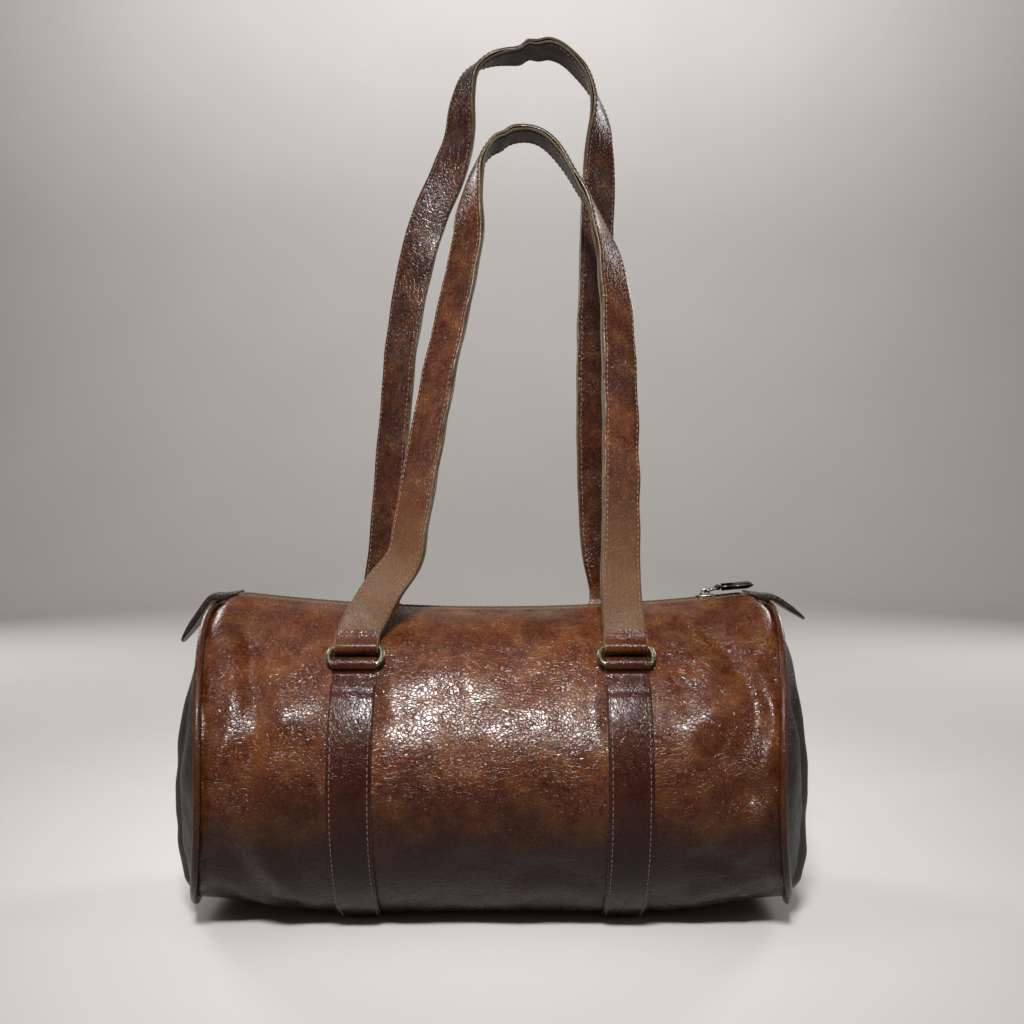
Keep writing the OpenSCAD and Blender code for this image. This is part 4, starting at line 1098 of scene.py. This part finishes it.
rear_route = np.array([
    [-0.96, 0.10, 0.09, 0.18], [-0.93, 0.22, 0.20, 0.30], [-0.88, 0.35, 0.34, 0.32],
    [-0.82, 0.48, 0.47, 0.28], [-0.72, 0.60, 0.59, 0.14], [-0.585, 0.68, 0.69, 0.04],
    [-0.415, 0.74, 0.77, 0.12], [-0.315, 0.78, 0.84, 0.36], [-0.29, 0.82, 0.90, 0.54],
    [-0.22, 0.88, 0.955, 0.72], [-0.05, 0.94, 0.978, 0.88], [0.15, 0.98, 0.985, 1.0],
    [0.32, 1.0, 0.995, 1.04], [0.47, 1.0, 1.0, 1.06], [0.64, 0.97, 0.985, 1.04],
    [0.80, 0.93, 0.95, 1.0], [0.91, 0.88, 0.90, 0.82], [0.94, 0.82, 0.83, 0.48],
    [0.925, 0.74, 0.75, 0.28], [0.905, 0.62, 0.62, 0.22], [0.885, 0.48, 0.47, 0.20],
    [0.88, 0.32, 0.30, 0.18], [0.915, 0.16, 0.12, 0.10],
])


def strap_line(route, bar, deg, lean, rise_by, into):
    """Centre line of a strap with its width and height directions, from the left ring to the right.

    A Catmull-Rom curve through the route's points, resampled to 1.5 mm. The width direction is
    square to the line and turned about it by the route's turn; into runs straight on at both ends.
    """
    start = bar + ply_from * tilt(deg) + (ply_t - roll_r) * tilt(deg + 90)
    before = start - loop_l * tilt(deg)
    knots = np.column_stack([route[:, 0] * bar[0], bar[1] + route[:, 1] * lean,
                             bar[2] + route[:, 2] * rise_by, route[:, 3]])
    ends = [np.append(p * [side, 1, 1], 0.0)
            for side, p in ((-1, before), (-1, start), (1, start), (1, before))]
    p = np.vstack([ends[:2], knots, ends[2:]])
    fine = curve_through(p)
    straight = np.linspace(into, 0, 6, endpoint=False)[:, None] * np.append(tilt(deg), 0.0)[None]
    first = p[1] - straight
    last = p[-2] - straight[::-1]
    fine = np.vstack([first, fine, p[-2:-1], last])
    length = run_along(fine[:, :3])
    at = np.linspace(0, length[-1], int(length[-1] / (1.5 * MM)))
    line = sampled(fine, length, at)
    smooth = np.pad(line, ((3, 3), (0, 0)), mode="reflect", reflect_type="odd")
    weights = (0.05, 0.12, 0.2, 0.26, 0.2, 0.12, 0.05)
    line[:, :3] = sum(w * smooth[k:k + len(line), :3] for k, w in enumerate(weights))
    centre = line[:, :3]
    along = unit(np.gradient(centre, axis=0))
    flat_way = unit(np.cross(along, [0.0, 1.0, 0.0]))
    edge_way = np.cross(flat_way, along)
    turn = np.radians(90 * line[:, 3:])
    wide = np.cos(turn) * flat_way + np.sin(turn) * edge_way
    return centre, wide, np.cross(along, wide), at


def strap_pieces(word, outside, route, bar, deg, lean, rise_by, seed, kink_x, kink_h):
    """Outer ply, backing, end loops and stitches of one strap, on their body.

    Slow waves lift the plies, and a kink, a bell of height kink_h with a dip on each side, lies
    across the strap's top at kink_x. Both fade out towards the loops.
    """
    half = strap_w / 2
    for layer, into, low, high, material, slot in (
            ("outer", ply_from - ply_lap, 0.1 * MM, ply_t - 0.1 * MM, outside, "strap_leather"),
            ("backing", -0.1 * MM, -0.1 * MM, -ply_t + 0.1 * MM, strap_backing, "strap_backing")):
        centre, wide, up, at = strap_line(route, bar, deg, lean, rise_by, max(into, 0.0))
        calm = ease(at / (25 * MM)) * ease((at[-1] - at) / (25 * MM))
        wave = 0.35 * MM * waves(at, 0 * at, 34 * MM, seed) * calm
        below = centre[:, 2] < centre[:, 2].max() - 30 * MM
        middle = np.argmin(np.abs(centre[:, 0] - kink_x) + 10 * below)
        past = at - at[middle]
        kink = kink_h * bell(past, 3.2 * MM)
        dip = -0.5 * kink_h * (bell(past - 7 * MM, 4 * MM) + bell(past + 7 * MM, 4 * MM))
        section = strap_section(strap_w - 0.3 * MM, abs(high - low), crown=0.25 * MM)
        section = np.repeat(section[None], len(at), axis=0)
        edge_wave = 1 + 0.012 * waves(at, 0 * at, 22 * MM, seed + 1) * calm
        section[..., 0] *= edge_wave[:, None]
        if layer == "backing":
            section[..., 1] *= -1
        centre = centre + (low + wave + kink + dip)[:, None] * up
        ply = sweep(f"strap_{word}_{layer}_leather", centre, wide, up, section)
        dress(ply, material, f"{word}_strap", slot, f"strap_{word}_{layer}")
        face = (high - low) + (0.02 if layer == "outer" else -0.02) * MM
        seams = []
        for edge in (-1, 1):
            line = centre + edge * ((half - 2.0 * MM) * edge_wave)[:, None] * wide + face * up
            seams.append(sewn(line[8:-8], up[8:-8] * np.sign(face), pitch=3.1 * MM))
        thread = stitches(f"strap_{word}_{layer}_stitching", *joined(seams), thick=0.55 * MM)
        dress(thread, strap_thread, f"{word}_strap", slot)

    along, front = tilt(deg), tilt(deg + 90)
    knots = np.vstack([
        [[loop_l, 1.3 * MM], [6.5 * MM, 1.3 * MM], [3.6 * MM, 1.45 * MM]],
        arc_knots((0, 0), bore_r + 1.05 * MM, 65, 275, 11),
        [[3 * MM, -2.6 * MM], [6 * MM, -2.65 * MM], [loop_l, -2.65 * MM]],
    ])
    flat_line = path_points(knots, 0.35 * MM)
    for side, hand in hands:
        centre = bar + flat_line[:, :1] * along + flat_line[:, 1:2] * front
        centre = centre * [side, 1, 1]
        ahead = unit(np.gradient(centre, axis=0))
        wide = np.array([1.0, 0.0, 0.0])
        up = unit(np.cross(wide, ahead))
        section = strap_section(strap_w, 1.75 * MM, crown=0.12 * MM)
        section[:, 1] -= 0.87 * MM
        loop_piece = sweep(f"strap_{word}_loop_{hand}_leather", centre, wide, up, section)
        dress(loop_piece, loop_leather, f"{word}_strap", "strap_leather", f"strap_{word}_loop_{hand}")
        across = np.linspace(-1, 1, 9)[:, None] * (half - 2.2 * MM) * np.array([1.0, 0, 0])
        line = (bar + 7.0 * MM * along + 2.25 * MM * front) * [side, 1, 1] + across
        row = sewn(line, np.broadcast_to(front, line.shape), pitch=2.6 * MM)
        thread = stitches(f"strap_{word}_loop_{hand}_stitching", *row, thick=0.5 * MM)
        dress(thread, strap_thread, f"{word}_strap", "strap_leather")


strap_pieces("front", front_strap_leather, front_route, front_bar, deg=58, lean=75 * MM,
             rise_by=286 * MM, seed=51, kink_x=4 * MM, kink_h=-0.7 * MM)
strap_pieces("rear", rear_strap_leather, rear_route, rear_bar * [1, -1, 1], deg=86, lean=11 * MM,
             rise_by=338 * MM, seed=61, kink_x=21 * MM, kink_h=1.5 * MM)


# --- Floor, light and camera --------------------------------------------------
# A pale table runs up into a pale wall. A small window lamp in front gives the highlight, a soft
# key stands above, tall strips stand at both sides and square lamps behind, and a wash lights the
# wall. The camera is as far off and as high as the photograph's.
backdrop_white, tree = blank_material("matt_white_card")
place = add(tree, "TexCoord", out="Object")
dust = add(tree, "TexNoise", {"Vector": place, "Scale": 3.0, "Detail": 2.0})
pale = add(tree, "Mix", {0: dust, 6: colour("#b8b5b1"), 7: colour("#bfbcb8")}, data_type="RGBA", out=2)
card = add(tree, "BsdfDiffuse", {"Color": pale})
add(tree, "OutputMaterial", {0: card})
reach, wall_y, wall_bend = 6.0, 3.0, 1.2
bend_angle = np.radians(np.linspace(0, 90, 16))
run_y = np.concatenate([[-4.0, 0.0], wall_y - wall_bend + wall_bend * np.sin(bend_angle), [wall_y]])
run_z = np.concatenate([[0.0, 0.0], wall_bend * (1 - np.cos(bend_angle)), [6.0]])
sheet = np.stack([np.stack([np.full(len(run_y), x), run_y, run_z], axis=1) for x in (-reach, reach)])
i = np.arange(len(run_y) - 1)
n = len(run_y)
backdrop = from_faces("backdrop", sheet, np.stack([i, i + n, i + n + 1, i + 1], axis=1).tolist())
backdrop.data.materials.append(backdrop_white)

world = bpy.data.worlds.new("pale_room")
bpy.context.scene.world = world
world.use_nodes = True
tree = world.node_tree
tree.nodes.clear()
ray = add(tree, "LightPath").node.outputs
seen = add(tree, "Math", {0: ray["Is Camera Ray"], 1: ray["Is Glossy Ray"]}, operation="MAXIMUM")
level = add(tree, "MapRange", {0: seen, 3: 0.14, 4: 0.24})
sky = add(tree, "Background", {"Color": colour("#f4f3f1"), "Strength": level})
add(tree, "OutputWorld", {0: sky})


def soft_light(name, place, target, width, height, power, spread=180):
    """Rectangular soft light at a place, aimed at a target; a grid may narrow its spread."""
    data = bpy.data.lights.new(name, "AREA")
    data.shape = "RECTANGLE"
    data.size, data.size_y, data.energy = width, height, power
    data.spread = math.radians(spread)
    lamp = placed(name, data)
    lamp.location = place
    lamp.rotation_euler = (Vector(target) - Vector(place)).to_track_quat("-Z", "Y").to_euler()


# place and aim in metres, width and height in metres, power in watts and spread in degrees
soft_light("key_above", (-0.38, -0.14, 1.35), (0.0, 0.0, 0.12), 0.8, 0.8, 2.6)
soft_light("window_front", (-0.03, -0.80, 0.88), (0.0, 0.0, 0.20), 0.22, 0.13, 2.1, 50)
soft_light("fill_left", (-1.1, -0.62, 0.90), (0.0, 0.0, 0.25), 0.12, 0.9, 2.6)
soft_light("fill_right", (1.1, -0.62, 0.90), (0.0, 0.0, 0.25), 0.12, 0.9, 2.4)
soft_light("back_left", (-1.1, 1.0, 0.8), (0.0, 0.0, 0.2), 0.5, 0.5, 10.0)
soft_light("back_right", (1.1, 1.0, 0.8), (0.0, 0.0, 0.2), 0.5, 0.5, 10.0)
soft_light("wall_wash", (0.0, 1.7, 2.3), (0.0, 3.2, 1.5), 3.0, 0.5, 45.0)

view = bpy.data.cameras.new("photograph")
# 1083 pixels is the focal length that fits the photograph, 1024 pixels wide
view.sensor_width = 36.0
view.lens = view.sensor_width * 1083 / 1024
view.clip_start = 0.02
camera = placed("photograph", view)
camera.location = (0.0105, -0.6, 0.213)
camera.rotation_euler = (math.radians(90), 0.0, 0.0)
bpy.context.scene.camera = camera
bpy.context.scene.view_settings.view_transform = "Standard"
